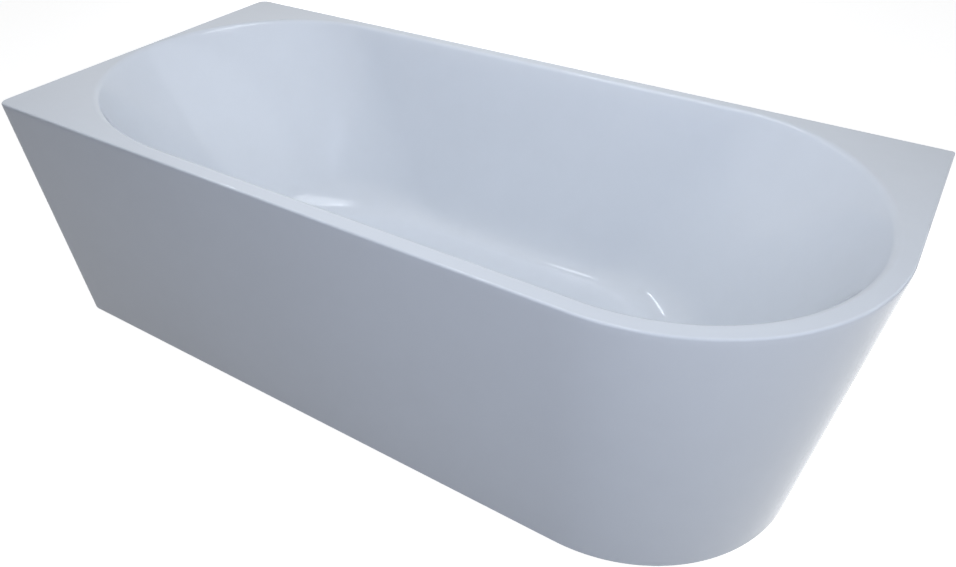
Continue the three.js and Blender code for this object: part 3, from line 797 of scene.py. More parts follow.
@dataclass(frozen=True)
class Moulded(Finish):
    """Moulded plastic or rubber with a fine grain, scuffs and dust."""

    ior: float = 1.48
    dust: Colour = (0.45, 0.44, 0.42)
    grain: float = 2200.0
    relief: float = 0.25
    dusting: float = 0.12

    def surface(self, graph: Graph) -> Surface:
        """Wires up what changes over the surface.

        Args:
            graph: The material's node tree.

        Returns:
            The colour, the roughness and the normals.
        """
        tone = MOTTLE.put(graph, 18.0, 0.0, 1.0)
        base = graph.mix(tone, self.tint(0.88), self.tint(1.1))
        dust = DUST.put(graph, self.dusting)
        colour = graph.mix(dust, base, (*self.dust, 1.0))
        marks = MARKS.put(graph, 70.0, 0.006)
        smear = MOTTLE.put(graph, 24.0, self.roughness * 0.85, self.roughness * 1.15)
        rough = graph.math("ADD", smear, graph.math("MULTIPLY", marks, 0.12))
        grain = graph.noise(graph.place(), self.grain, 2.0)
        normal = graph.bump(grain, self.relief, 0.0001)
        return colour, rough, normal


@dataclass(frozen=True)
class Chipboard(Finish):
    """Pressed flakes of wood."""

    flakes: float = 210.0

    def surface(self, graph: Graph) -> Surface:
        """Wires up what changes over the surface.

        Args:
            graph: The material's node tree.

        Returns:
            The colour, the roughness and the normals.
        """
        tone, height = FLAKES.place(graph, self.flakes).outputs[:2]
        dark = graph.mix(tone, self.tint(0.55), self.tint(1.5))
        patch = MOTTLE.put(graph, 9.0, 0.0, 0.35)
        colour = graph.mix(patch, dark, self.tint(0.8))
        rough = graph.spread(tone, 0.7, 0.92, 0.1, 0.9)
        normal = graph.bump(height, 0.6, 0.0005)
        return colour, rough, normal


@dataclass(frozen=True)
class Plywood(Finish):
    """Birch plywood: long grain on its faces and thin layers along its edges."""

    layer: float = 0.0024

    def surface(self, graph: Graph) -> Surface:
        """Wires up what changes over the surface.

        Args:
            graph: The material's node tree.

        Returns:
            The colour, the roughness and the normals.
        """
        grain = graph.noise(graph.stretched((3.0, 40.0, 3.0)), 9.0, 6.0, 0.6)
        fibre = graph.noise(graph.stretched((8.0, 160.0, 160.0)), 9.0, 3.0)
        face = graph.mix(graph.spread(grain, 0.0, 1.0, 0.35, 0.68), self.tint(0.78), self.tint(1.25))
        face = graph.mix(graph.spread(fibre, 0.0, 0.35, 0.4, 0.65), face, self.tint(0.6))
        place = graph.node("SeparateXYZ", {"Vector": graph.place()}).outputs["Z"]
        step = graph.math("FRACT", graph.math("DIVIDE", place, self.layer * 2))
        edge = graph.mix(graph.spread(step, 0.0, 1.0, 0.47, 0.53), self.tint(0.5), self.tint(1.15))
        normal = graph.node("NewGeometry").outputs["Normal"]
        up = graph.node("SeparateXYZ", {"Vector": normal}).outputs["Z"]
        flat = graph.spread(graph.math("ABSOLUTE", up), 0.0, 1.0, 0.55, 0.7)
        colour = graph.mix(flat, edge, face)
        rough = graph.spread(grain, 0.62, 0.85)
        relief = graph.bump(fibre, 0.35, 0.0004)
        return colour, rough, relief


@dataclass(frozen=True)
class Turned(Finish):
    """Metal off the lathe: fine rings, tarnish and handling marks."""

    def surface(self, graph: Graph) -> Surface:
        """Wires up what changes over the surface.

        Args:
            graph: The material's node tree.

        Returns:
            The colour, the roughness and the normals.
        """
        rings = graph.noise(graph.stretched((2.0, 2.0, 260.0)), 9.0, 3.0)
        tarnish = MOTTLE.put(graph, 40.0, 0.0, 0.5)
        base = graph.mix(graph.spread(rings, 0.0, 1.0), self.tint(0.85), self.tint(1.1))
        colour = graph.mix(tarnish, base, self.tint(0.6))
        marks = MARKS.put(graph, 90.0, 0.006)
        smear = graph.spread(rings, self.roughness * 0.8, self.roughness * 1.3)
        rough = graph.math("ADD", smear, graph.math("MULTIPLY", marks, 0.15))
        normal = graph.bump(rings, 0.25, 0.0001)
        return colour, rough, normal


class Palette:
    """The materials of the bath."""

    def __init__(self) -> None:
        """Builds each material once."""
        self.acrylic = GlossAcrylic("gloss_acrylic", (0.757, 0.787, 0.832), 0.08).material()
        self.backing = Glassfibre("glassfibre_backing", (0.56, 0.56, 0.50), 0.45).material()
        self.board = Chipboard("chipboard", (0.46, 0.32, 0.17), 0.85).material()
        self.plywood = Plywood("plywood", (0.54, 0.38, 0.19), 0.75).material()
        self.frame = CoatedSteel("galvanised_steel", (0.40, 0.41, 0.43), 0.42, 0.9).material()
        self.zinc = CoatedSteel("zinc_plate", (0.52, 0.53, 0.55), 0.3, 1.0, spangle=420.0).material()
        self.chrome = Polished("chrome", (0.79, 0.8, 0.82), 0.045, 1.0).material()
        self.brass = Turned("turned_brass", (0.48, 0.3, 0.05), 0.3, 1.0).material()
        self.weld = Turned("weld_bead", (0.24, 0.23, 0.22), 0.45, 0.9).material()
        self.rubber = Moulded("seal_rubber", (0.019, 0.019, 0.023), 0.7, relief=0.5).material()
        self.pad = Moulded("pad_plastic", (0.02, 0.021, 0.024), 0.55, relief=0.4).material()
        self.nut = Moulded("nut_plastic", (0.05, 0.056, 0.066), 0.45).material()
        self.pipe = Moulded("pipe_plastic", (0.70, 0.70, 0.685), 0.35, relief=0.12).material()


# The bath


@dataclass(frozen=True)
class Outline:
    """The sides and corner radii of the bath's outside at one level."""

    left: float
    right: float
    front: float
    back: float
    big: float
    small: float
    least: float
    big_steps: int = 72
    small_steps: int = 10
    least_steps: int = 6

    def front_run(self, shares: Sequence[float]) -> list[Pair]:
        """Works out the way from the front left corner round to the back right one.

        Args:
            shares: Where the straight parts are divided.

        Returns:
            The points, those of both corners among them.
        """
        big, small, least = self.big, self.small, self.least
        left, right, front, back = self.left, self.right, self.front, self.back
        return [
            *arc((left + small, front + small), (small, small), (2 * QUARTER, 3 * QUARTER), self.small_steps),
            *between((left + small, front), (right - big, front), shares),
            *arc((right - big, front + big), (big, big), (-QUARTER, 0.0), self.big_steps),
            *between((right, front + big), (right, back - least), shares),
            *arc((right - least, back - least), (least, least), (0.0, QUARTER), self.least_steps),
        ]

    def back_run(self, shares: Sequence[float]) -> list[Pair]:
        """Works out the way on from there, round the back left corner to the front left one.

        Args:
            shares: Where the straight parts are divided.

        Returns:
            The points, those of the back left corner among them.
        """
        left, front, back, small = self.left, self.front, self.back, self.small
        return [
            *between((self.right - self.least, back), (left + small, back), shares),
            *arc((left + small, back - small), (small, small), (QUARTER, 2 * QUARTER), self.small_steps),
            *between((left, back - small), (left, front + small), shares),
        ]


@dataclass(frozen=True)
class Plan:
    """The bath seen from above, and its levels.

    The rim's strip and the walls' lean are given for the front, back, left and right, and the reaches of
    the basin's round parts for the front left, back left, front right and back right.
    """

    length: float = 1.700
    width: float = 0.800
    height: float = 0.580
    outer_radius: float = 0.383
    wall_corner: float = 0.023
    wall_corner_least: float = 0.004
    back_corner: float = 0.005
    back_corner_least: float = 0.0006
    edge_radius: float = 0.007
    deck: float = 0.006
    lip_under: float = 0.567
    lip_wall: float = 0.005
    taper: float = 0.053
    skirt_foot: float = 0.0085
    floor: float = 0.150
    floor_thickness: float = 0.008
    wall: float = 0.006
    rim: float = 0.008
    fillet: float = 0.080
    fillet_share: float = 0.4
    strip: Four = (0.029, 0.022, 0.014, 0.032)
    lean: Four = (0.09503, 0.09503, 0.27305, 0.26488)
    rim_reach: Four = (0.43605, 0.36601, 0.351, 0.351)
    foot_reach: Four = (0.3502, 0.3502, 0.30005, 0.30005)
    quarter_steps: int = 44
    straight: tuple[float, ...] = (0.004, 0.02, 0.06, 0.14, 0.3, 0.5, 0.7, 0.86, 0.94, 0.98, 0.996)

    def taper_at(self, z: float) -> float:
        """Returns how far the outside stands in from the deck's edge at a height."""
        top = self.height - self.edge_radius
        return self.taper * max(top - z, 0.0) / (top - self.skirt_foot)

    def outline(self, inset: float, z: float) -> Outline:
        """Works out the bath's outline.

        Args:
            inset: How far inside its outer faces.
            z: The height.

        Returns:
            Its sides and corner radii.
        """
        taper = self.taper_at(z)
        return Outline(
            left=-self.length / 2 + inset,
            right=self.length / 2 - inset - taper,
            front=-self.width / 2 + inset + taper,
            back=self.width / 2 - inset,
            big=self.outer_radius - inset - taper,
            small=max(self.wall_corner - inset, self.wall_corner_least),
            least=max(self.back_corner - inset, self.back_corner_least),
        )

    def edge(self, inset: float, z: float) -> Ring:
        """Returns the ring round the deck, or under it, at an inset and a height."""
        outline = self.outline(inset, z)
        return lifted(outline.front_run(self.straight) + outline.back_run(self.straight), z)

    def basin(self, share: float, inset: float, z: float) -> Ring:
        """Returns the basin's ring at a share of the way down its wall.

        Args:
            share: 0 at the rim, and 1 where the wall would meet the floor without a fillet.
            inset: How far inside the rim's line it runs.
            z: Its height.

        Returns:
            The ring, anticlockwise from the left end.
        """
        front = -self.width / 2 + self.strip[0] + inset + self.lean[0] * share
        back = self.width / 2 - self.strip[1] - inset - self.lean[1] * share
        left = -self.length / 2 + self.strip[2] + inset + self.lean[2] * share
        right = self.length / 2 - self.strip[3] - inset - self.lean[3] * share
        middle = (-self.width / 2 + self.outer_radius) * (1 - share)
        reach = [lerp(a, b, share) - inset for a, b in zip(self.rim_reach, self.foot_reach)]
        fl, bl, fr, br = reach
        steps = self.quarter_steps
        return lifted(
            [
                *arc((left + fl, 0.0), (fl, -front), (2 * QUARTER, 3 * QUARTER), steps),
                *between((left + fl, front), (right - fr, front), self.straight),
                *arc((right - fr, middle), (fr, middle - front), (-QUARTER, 0.0), steps),
                *arc((right - br, middle), (br, back - middle), (0.0, QUARTER), steps)[1:],
                *between((right - br, back), (left + bl, back), self.straight),
                *arc((left + bl, 0.0), (bl, back), (QUARTER, 2 * QUARTER), steps)[:-1],
            ],
            z,
        )

    @property
    def run(self) -> float:
        """The height of the wall under the rim's rounding."""
        return self.height - self.floor - self.rim

    def stations(self, fillet_steps: int, wall_steps: int) -> list[Pair]:
        """Divides the basin's wall and the fillet at its foot.

        Args:
            fillet_steps: How many steps the fillet has.
            wall_steps: How many the wall has.

        Returns:
            The share of the way down the wall and the depth under the deck, from the top to the floor.
        """
        depth = self.height - self.floor
        turn = 1 - self.fillet / self.run
        walls = [turn * i / wall_steps for i in range(wall_steps)]
        made = [(share, self.rim + self.run * share) for share in walls]
        for i in range(fillet_steps + 1):
            t = i / fillet_steps
            share = turn * (1 - t) ** 2 + 2 * t * (1 - t) + (1 + self.fillet_share) * t**2
            made.append((share, depth - self.fillet * (1 - t) ** 2))
        return made


PLAN = Plan()


@dataclass(frozen=True)
class OverflowPlace:
    """Where the overflow goes through the basin's front wall."""

    drop: float = 0.110

    @property
    def matrix(self) -> Matrix:
        """Works out its frame.

        Returns:
            The frame, whose +Z points into the basin and whose +Y runs down the wall.
        """
        share = (self.drop - PLAN.rim) / PLAN.run
        y = -PLAN.width / 2 + PLAN.strip[0] + PLAN.rim + PLAN.lean[0] * share
        lean = math.atan2(PLAN.lean[0], PLAN.run)
        turn = Matrix.Rotation(lean - QUARTER, 4, "X")
        return Matrix.Translation((0, y, PLAN.height - self.drop)) @ turn


OVERFLOW = OverflowPlace()
WASTE = sum(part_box("waste_flange"), Vector()) / 2 * Vector((1, 1, 0))


@dataclass
class SubAssembly:
    """A part of the bath, built from the bath's materials."""

    palette: Palette


@dataclass
class Shell(SubAssembly):
    """The acrylic shell: deck, lip and basin."""

    edge_steps: int = 6
    edge: float = 0.004
    rim_steps: int = 8
    fillet_steps: int = 22
    wall_steps: int = 10
    support: float = 0.0015
    recess: float = 0.0366
    recess_floor: float = 0.148
    recess_ease: float = 0.0008
    hole: float = 0.025
    waste_steps: int = 96
    overflow_hole: float = 0.024
    overflow_steps: int = 64
    cutter_reach: float = 0.02
    inner_ease: float = 0.002

    def build(self) -> None:
        """Builds the shell with its two finishes."""
        work = Workpiece("shell")
        lip_outer, deck_edge = self.lip(work)
        rim, basin_floor = self.basin(work)
        work.fill(deck_edge, rim)
        recess, hole = self.drain(work)
        work.fill(basin_floor, recess)
        under_hole, lip_inner = self.underside(work)
        work.join(hole, under_hole, finish=1)
        work.join(lip_outer, lip_inner)
        role = Role(Slot.ACRYLIC, (self.palette.acrylic, self.palette.backing), ("bath_shell",))
        shell = work.finish(role)
        cutter = Workpiece("overflow_cutter")
        ends = (-self.cutter_reach, self.cutter_reach)
        cutter.closed([circle(self.overflow_hole, z, self.overflow_steps) for z in ends])
        cutter.mesh.transform(OVERFLOW.matrix)
        carved(shell, cutter)

    def lip(self, work: Workpiece) -> tuple[Loop, Loop]:
        """Skins the lip and the deck's rounded edge, up onto the deck.

        Args:
            work: The shell's workpiece.

        Returns:
            The lip's lower loop, and the one on the deck.
        """
        rings = [PLAN.edge(0.0, PLAN.lip_under)]
        for i in range(self.edge_steps + 1):
            angle = QUARTER * i / self.edge_steps
            z = PLAN.height - self.edge * (1 - math.sin(angle))
            rings.append(PLAN.edge(self.edge * (1 - math.cos(angle)), z))
        rings.append(PLAN.edge(self.edge + self.support, PLAN.height))
        return work.skin(rings)

    def basin(self, work: Workpiece) -> tuple[Loop, Loop]:
        """Skins the rim's rounding, the wall and the fillet, down onto the floor.

        Args:
            work: The shell's workpiece.

        Returns:
            The loop on the deck, and the one on the floor.
        """
        top, rise = PLAN.height, -PLAN.rim / PLAN.run
        steer = (
            PLAN.basin(rise, 0.0, top),
            PLAN.basin(rise, PLAN.rim, top),
            PLAN.basin(0.0, PLAN.rim, top - PLAN.rim),
        )
        rings = [PLAN.basin(rise, -self.support, top)]
        rings += [blended(steer, i / self.rim_steps) for i in range(self.rim_steps)]
        stations = PLAN.stations(self.fillet_steps, self.wall_steps)
        rings += [PLAN.basin(share, PLAN.rim, top - depth) for share, depth in stations]
        rings.append(PLAN.basin(stations[-1][0], PLAN.rim + self.support, PLAN.floor))
        return work.skin(rings)

    def drain(self, work: Workpiece) -> tuple[Loop, Loop]:
        """Skins the recess for the waste's flange, down to its hole.

        Args:
            work: The shell's workpiece.

        Returns:
            The loop on the floor, and the one round the hole.
        """
        radius, low, ease = self.recess, self.recess_floor, self.recess_ease
        middle = (WASTE.x, WASTE.y)
        profile = [
            (radius + 2 * ease, PLAN.floor),
            (radius + ease, PLAN.floor),
            (radius + ease * MIDWAY, PLAN.floor - ease * MIDWAY),
            (radius, PLAN.floor - ease),
            (radius, low),
            (self.hole, low),
        ]
        return work.skin([circle(r, z, self.waste_steps, middle) for r, z in profile])

    def underside(self, work: Workpiece) -> tuple[Loop, Loop]:
        """Skins the shell's outside, from the hole under the floor to the inside of the lip.

        Args:
            work: The shell's workpiece.

        Returns:
            The loop round the hole, and the one inside the lip.
        """
        under = PLAN.floor - PLAN.floor_thickness
        ease = self.inner_ease
        stations = PLAN.stations(self.fillet_steps // 2, self.wall_steps)
        rings = []
        for i in reversed(range(len(stations))):
            share, depth = stations[i]
            above, below = stations[max(i - 1, 0)], stations[min(i + 1, len(stations) - 1)]
            across = PLAN.lean[1] * (below[0] - above[0])
            slope = 1.0 if i == len(stations) - 1 else across / math.hypot(across, below[1] - above[1])
            outwards = PLAN.wall * math.sqrt(max(1 - slope**2, 0.0))
            down = PLAN.floor_thickness * slope
            rings.append(PLAN.basin(share, PLAN.rim - outwards, PLAN.height - depth - down))
        deck_under = PLAN.height - PLAN.deck
        rings[0] = [Vector((p.x, p.y, under)) for p in rings[0]]
        rings[-1] = PLAN.basin(0.0, PLAN.rim - PLAN.wall, deck_under - ease)
        rings.append(PLAN.basin(0.0, PLAN.rim - PLAN.wall - ease, deck_under))
        floor_ring, deck_ring = work.skin(rings, 1)
        hole = work.ring(circle(self.hole, under, self.waste_steps, (WASTE.x, WASTE.y)))
        work.fill(floor_ring, hole, finish=1)
        lip, lip_top = work.skin(
            [
                PLAN.edge(PLAN.lip_wall, PLAN.lip_under),
                PLAN.edge(PLAN.lip_wall, deck_under - ease),
                PLAN.edge(PLAN.lip_wall + ease, deck_under),
            ],
            1,
        )
        work.fill(lip_top, deck_ring, finish=1)
        return hole, lip


@dataclass
class Skirt(SubAssembly):
    """The tapered skirt in front and round the rounded end, with its foot flange and end returns."""

    wall: float = 0.004
    flange: float = 0.025
    returned: float = 0.035
    foot_ease: float = 0.0015
    edge_ease: float = 0.001
    middle_level: float = 0.30
    inside: Pair = (0.3, 0.2)
    level_share: float = 0.7

    def section(self) -> list[Pair]:
        """Works out the skirt's section.

        Returns:
            The inset and the height of its points, from its outer top down and up to its inner top.
        """
        foot, ease, edge = PLAN.skirt_foot, self.foot_ease, self.edge_ease
        inner = foot + self.wall
        reach = self.wall + self.flange
        return [
            (0.0, PLAN.lip_under),
            (0.0, self.middle_level),
            (0.0, foot + 3 * ease),
            (0.0, foot + ease),
            (ease * MIDWAY, foot + ease * MIDWAY),
            (ease, foot),
            (3 * ease, foot),
            (reach - edge, foot),
            (reach, foot + edge),
            (reach, inner - edge),
            (reach - edge, inner),
            (self.wall + 3 * ease, inner),
            (self.wall + ease, inner + ease * MIDWAY),
            (self.wall, inner + 3 * ease),
            (self.wall, self.middle_level),
            (self.wall, PLAN.lip_under),
        ]

    def along(self, inset: float, z: float) -> list[Pair]:
        """Works out the skirt's path at one point of its section.

        Args:
            inset: How far the point lies inside the outer face.
            z: Its height.

        Returns:
            The path, from the left return to the back return.
        """
        line, taper = PLAN.outline(inset, z), PLAN.taper_at(z)
        start = (line.left, -PLAN.width / 2 + taper + self.returned)
        end = (PLAN.length / 2 - taper - self.returned, line.back)
        return [
            *between(start, (line.left, line.front + line.small), (0.0, 0.5, 0.9)),
            *line.front_run(PLAN.straight),
            *between((line.right - line.least, line.back), end, (0.1, 0.5, 1.0)),
        ]

    def build(self) -> None:
        """Builds the skirt by carrying its section along its path."""
        work = Workpiece("skirt")
        paths = [lifted(self.along(inset, z), z) for inset, z in self.section()]
        work.closed([list(ring) for ring in zip(*paths)])
        self.dress(work)
        role = Role(Slot.SKIRT, (self.palette.acrylic, self.palette.backing), ("outer_skirt",))
        work.finish(role)

    def dress(self, work: Workpiece) -> None:
        """Gives the level faces, and those that look at the frame, the backing's finish.

        Args:
            work: The skirt's workpiece.
        """
        bmesh.ops.recalc_face_normals(work.mesh, faces=work.mesh.faces)
        inside = Vector((*self.inside, 0))
        for face in work.mesh.faces:
            way = face.calc_center_median() - inside
            outwards = Vector((way.x, way.y, 0)).dot(face.normal)
            level = abs(face.normal.z) > self.level_share
            face.material_index = 1 if outwards < 0 or level else 0


@dataclass
class Boards(SubAssembly):
    """The base board and the deck's stiffeners."""

    corner_cut: float = 0.021
    corner_radius: float = 0.060
    corner_steps: int = 14
    slot: float = 0.062
    board_ease: float = 0.0012
    sheet_ease: float = 0.0008

    def outline(self, corner: Vector) -> list[Pair]:
        """Works out the base board's outline, with rounded corners and the waste's slot.

        Args:
            corner: The far upper corner of the board's box.

        Returns:
            The outline, anticlockwise.
        """
        r, steps = self.corner_radius, self.corner_steps
        x, y = corner.x - r, corner.y - r
        slot = [(-self.slot, -corner.y), (-self.slot, WASTE.y + self.slot)]
        return [
            *arc((x, y), (r, r), (0, QUARTER), steps),
            *arc((-x, y), (r, r), (QUARTER, 2 * QUARTER), steps),
            *arc((-x, -y), (r, r), (2 * QUARTER, 3 * QUARTER), steps),
            *slot,
            *((-a, b) for a, b in reversed(slot)),
            *arc((x, -y), (r, r), (3 * QUARTER, TURN), steps),
        ]

    def build(self) -> None:
        """Builds the boards, with eased edges."""
        board = Workpiece("floor_board")
        low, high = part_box("base_board")
        board.closed([lifted(self.outline(high), z) for z in (low.z, high.z)])
        board.soften(self.board_ease)
        board.finish(Role(Slot.BOARD, (self.palette.board,), ("base_board",)))
        for corner in ("front_left", "back_left", "back_right"):
            node = f"deck_stiffener_{corner}"
            sheet = Workpiece.copied(f"stiffener_{corner}", node)
            if corner.endswith("left"):
                side = -1 if corner.startswith("front") else 1
                self.clip(sheet, Vector((-PLAN.length / 2, side * PLAN.width / 2, 0)), Vector((-1, side, 0)))
            sheet.soften(self.sheet_ease)
            sheet.finish(Role(Slot.PLYWOOD, (self.palette.plywood,), (node,)))

    def clip(self, sheet: Workpiece, corner: Vector, outwards: Vector) -> None:
        """Saws a sheet's corner off where the deck's lip turns round it.

        Args:
            sheet: The sheet.
            corner: Where the deck's edges would meet.
            outwards: The way from the sheet to that corner.
        """
        way = outwards.normalized()
        cut = bmesh.ops.bisect_plane(
            sheet.mesh,
            geom=[*sheet.mesh.verts, *sheet.mesh.edges, *sheet.mesh.faces],
            plane_co=corner - way * self.corner_cut,
            plane_no=way,
            clear_outer=True,
        )["geom_cut"]
        bmesh.ops.contextual_create(sheet.mesh, geom=[part for part in cut if isinstance(part, BMEdge)])


@dataclass
class Framework(SubAssembly):
    """The steel frame with its posts, brackets and weld beads."""

    tube_corner: float = 0.003
    corner_steps: int = 4
    shortest: float = 0.05
    bracket_ease: float = 0.0009
    sheet: float = 0.0025
    front_brackets: int = 4
    screw_shares: Pair = (0.3, 0.7)
    screw_drop: float = 0.015
    large: float = 1.3
    bead: float = 0.0024
    bead_inset: float = 0.003
    bead_steps: int = 26
    bead_sides: int = 10
    ripples: int = 9
    ripple_valley: float = 0.86

    def build(self) -> None:
        """Builds the tubes, the brackets, their screws and the welds."""
        for i in range(1, 5):
            self.tube(f"cross_tube_{i}", f"frame_cross_{i}", Vector((0, 1, 0)))
        for side in ("front", "back"):
            self.tube(f"rail_{side}", f"frame_rail_{side}", Vector((1, 0, 0)))
        for place in ("front_left", "back_left", "back_right"):
            self.tube(f"post_{place}", f"frame_post_{place}", Vector((0, 0, 1)))
        for i in range(1, 7):
            self.bracket(i)
        self.welds()

    def tube(self, name: str, node: str, along: Vector) -> None:
        """Builds one square tube with rounded corners.

        Args:
            name: The new piece's name.
            node: The node that it stands for.
            along: The way the tube runs.
        """
        work = Workpiece.copied(name, node)

        def long_edge(edge: BMEdge) -> bool:
            """Tells whether an edge is one of the tube's long corners."""
            way = edge.verts[1].co - edge.verts[0].co
            return way.length > self.shortest and abs(way.normalized().dot(along)) > 0.99

        work.soften(self.tube_corner, self.corner_steps, long_edge)
        work.finish(Role(Slot.FRAME, (self.palette.frame,), (node,)))

    def bracket(self, number: int) -> None:
        """Builds one bracket and the three screws that hold it.

        Args:
            number: The bracket's number. The first four stand along the front, and the others at the end.
        """
        node = f"skirt_bracket_{number}"
        work = Workpiece.copied(f"bracket_{number}", node)
        work.soften(self.bracket_ease)
        work.finish(Role(Slot.BRACKET, (self.palette.zinc,), (node,)))
        low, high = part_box(node)
        near, far = self.screw_shares
        level, drop = low.z + self.sheet, high.z - self.screw_drop
        if number > self.front_brackets:
            spots = [(lerp(low.x, high.x, near), lerp(low.y, high.y, share), level) for share in (near, far)]
            side, axis = (high.x, lerp(low.y, high.y, 0.5), drop), "Y"
        else:
            spots = [(lerp(low.x, high.x, share), lerp(low.y, high.y, far), level) for share in (near, far)]
            side, axis = (lerp(low.x, high.x, 0.5), low.y, drop), "X"
        screws = Workpiece(f"bracket_screws_{number}")
        for spot in spots:
            self.screw(screws, Matrix.Translation(spot))
        self.screw(screws, Matrix.Translation(side) @ Matrix.Rotation(QUARTER, 4, axis), self.large)
        screws.finish(Role(Slot.ZINC, (self.palette.zinc,)))

    def screw(self, work: Workpiece, place: Matrix, scale: float = 1.0) -> None:
        """Adds a screw's head with a round recess, sunk a little into what it holds.

        Args:
            work: The workpiece that it is added to.
            place: Where it stands, with its head towards +Z.
            scale: Its size.
        """
        part = Workpiece("screw")
        head = [(0.0, -0.0005), (0.0038, -0.0005), (0.0038, 0.0008), (0.0033, 0.0018), (0.0022, 0.0024)]
        recess = [(0.0012, 0.0024), (0.0008, 0.0012), (0, 0.0012)]
        part.spin([(r * scale, z * scale) for r, z in head + recess], 24)
        part.mesh.transform(place)
        work.take(part)

    def welds(self) -> None:
        """Lays a bead on each side of each rail where a cross tube stands on it."""
        work = Workpiece("weld_beads")
        for side in ("front", "back"):
            low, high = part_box(f"frame_rail_{side}")
            for i in range(1, 5):
                tube_low, tube_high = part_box(f"frame_cross_{i}")
                for y in (low.y, high.y):
                    start = Vector((tube_low.x + self.bead_inset, y, tube_low.z))
                    end = Vector((tube_high.x - self.bead_inset, y, tube_low.z))
                    if end.x < high.x:
                        self.lay(work, start, end)
        work.finish(Role(Slot.FRAME, (self.palette.weld,)), sharp=60)

    def lay(self, work: Workpiece, start: Vector, end: Vector) -> None:
        """Adds one bead of overlapping ripples.

        Args:
            work: The workpiece that it is added to.
            start: Where it starts.
            end: Where it ends.
        """
        rings, sides, valley = [], self.bead_sides, self.ripple_valley
        for i in range(self.bead_steps + 1):
            share = i / self.bead_steps
            fade = math.sqrt(max(1 - (2 * share - 1) ** 8, 0.02))
            crest = abs(math.sin(share * self.ripples * math.pi))
            size = self.bead * fade * lerp(valley, 1.0, crest)
            middle = start.lerp(end, share)
            angles = (TURN * k / sides for k in range(sides))
            rings.append([middle + Vector((0, size * math.cos(a), size * math.sin(a))) for a in angles])
        work.closed(rings)


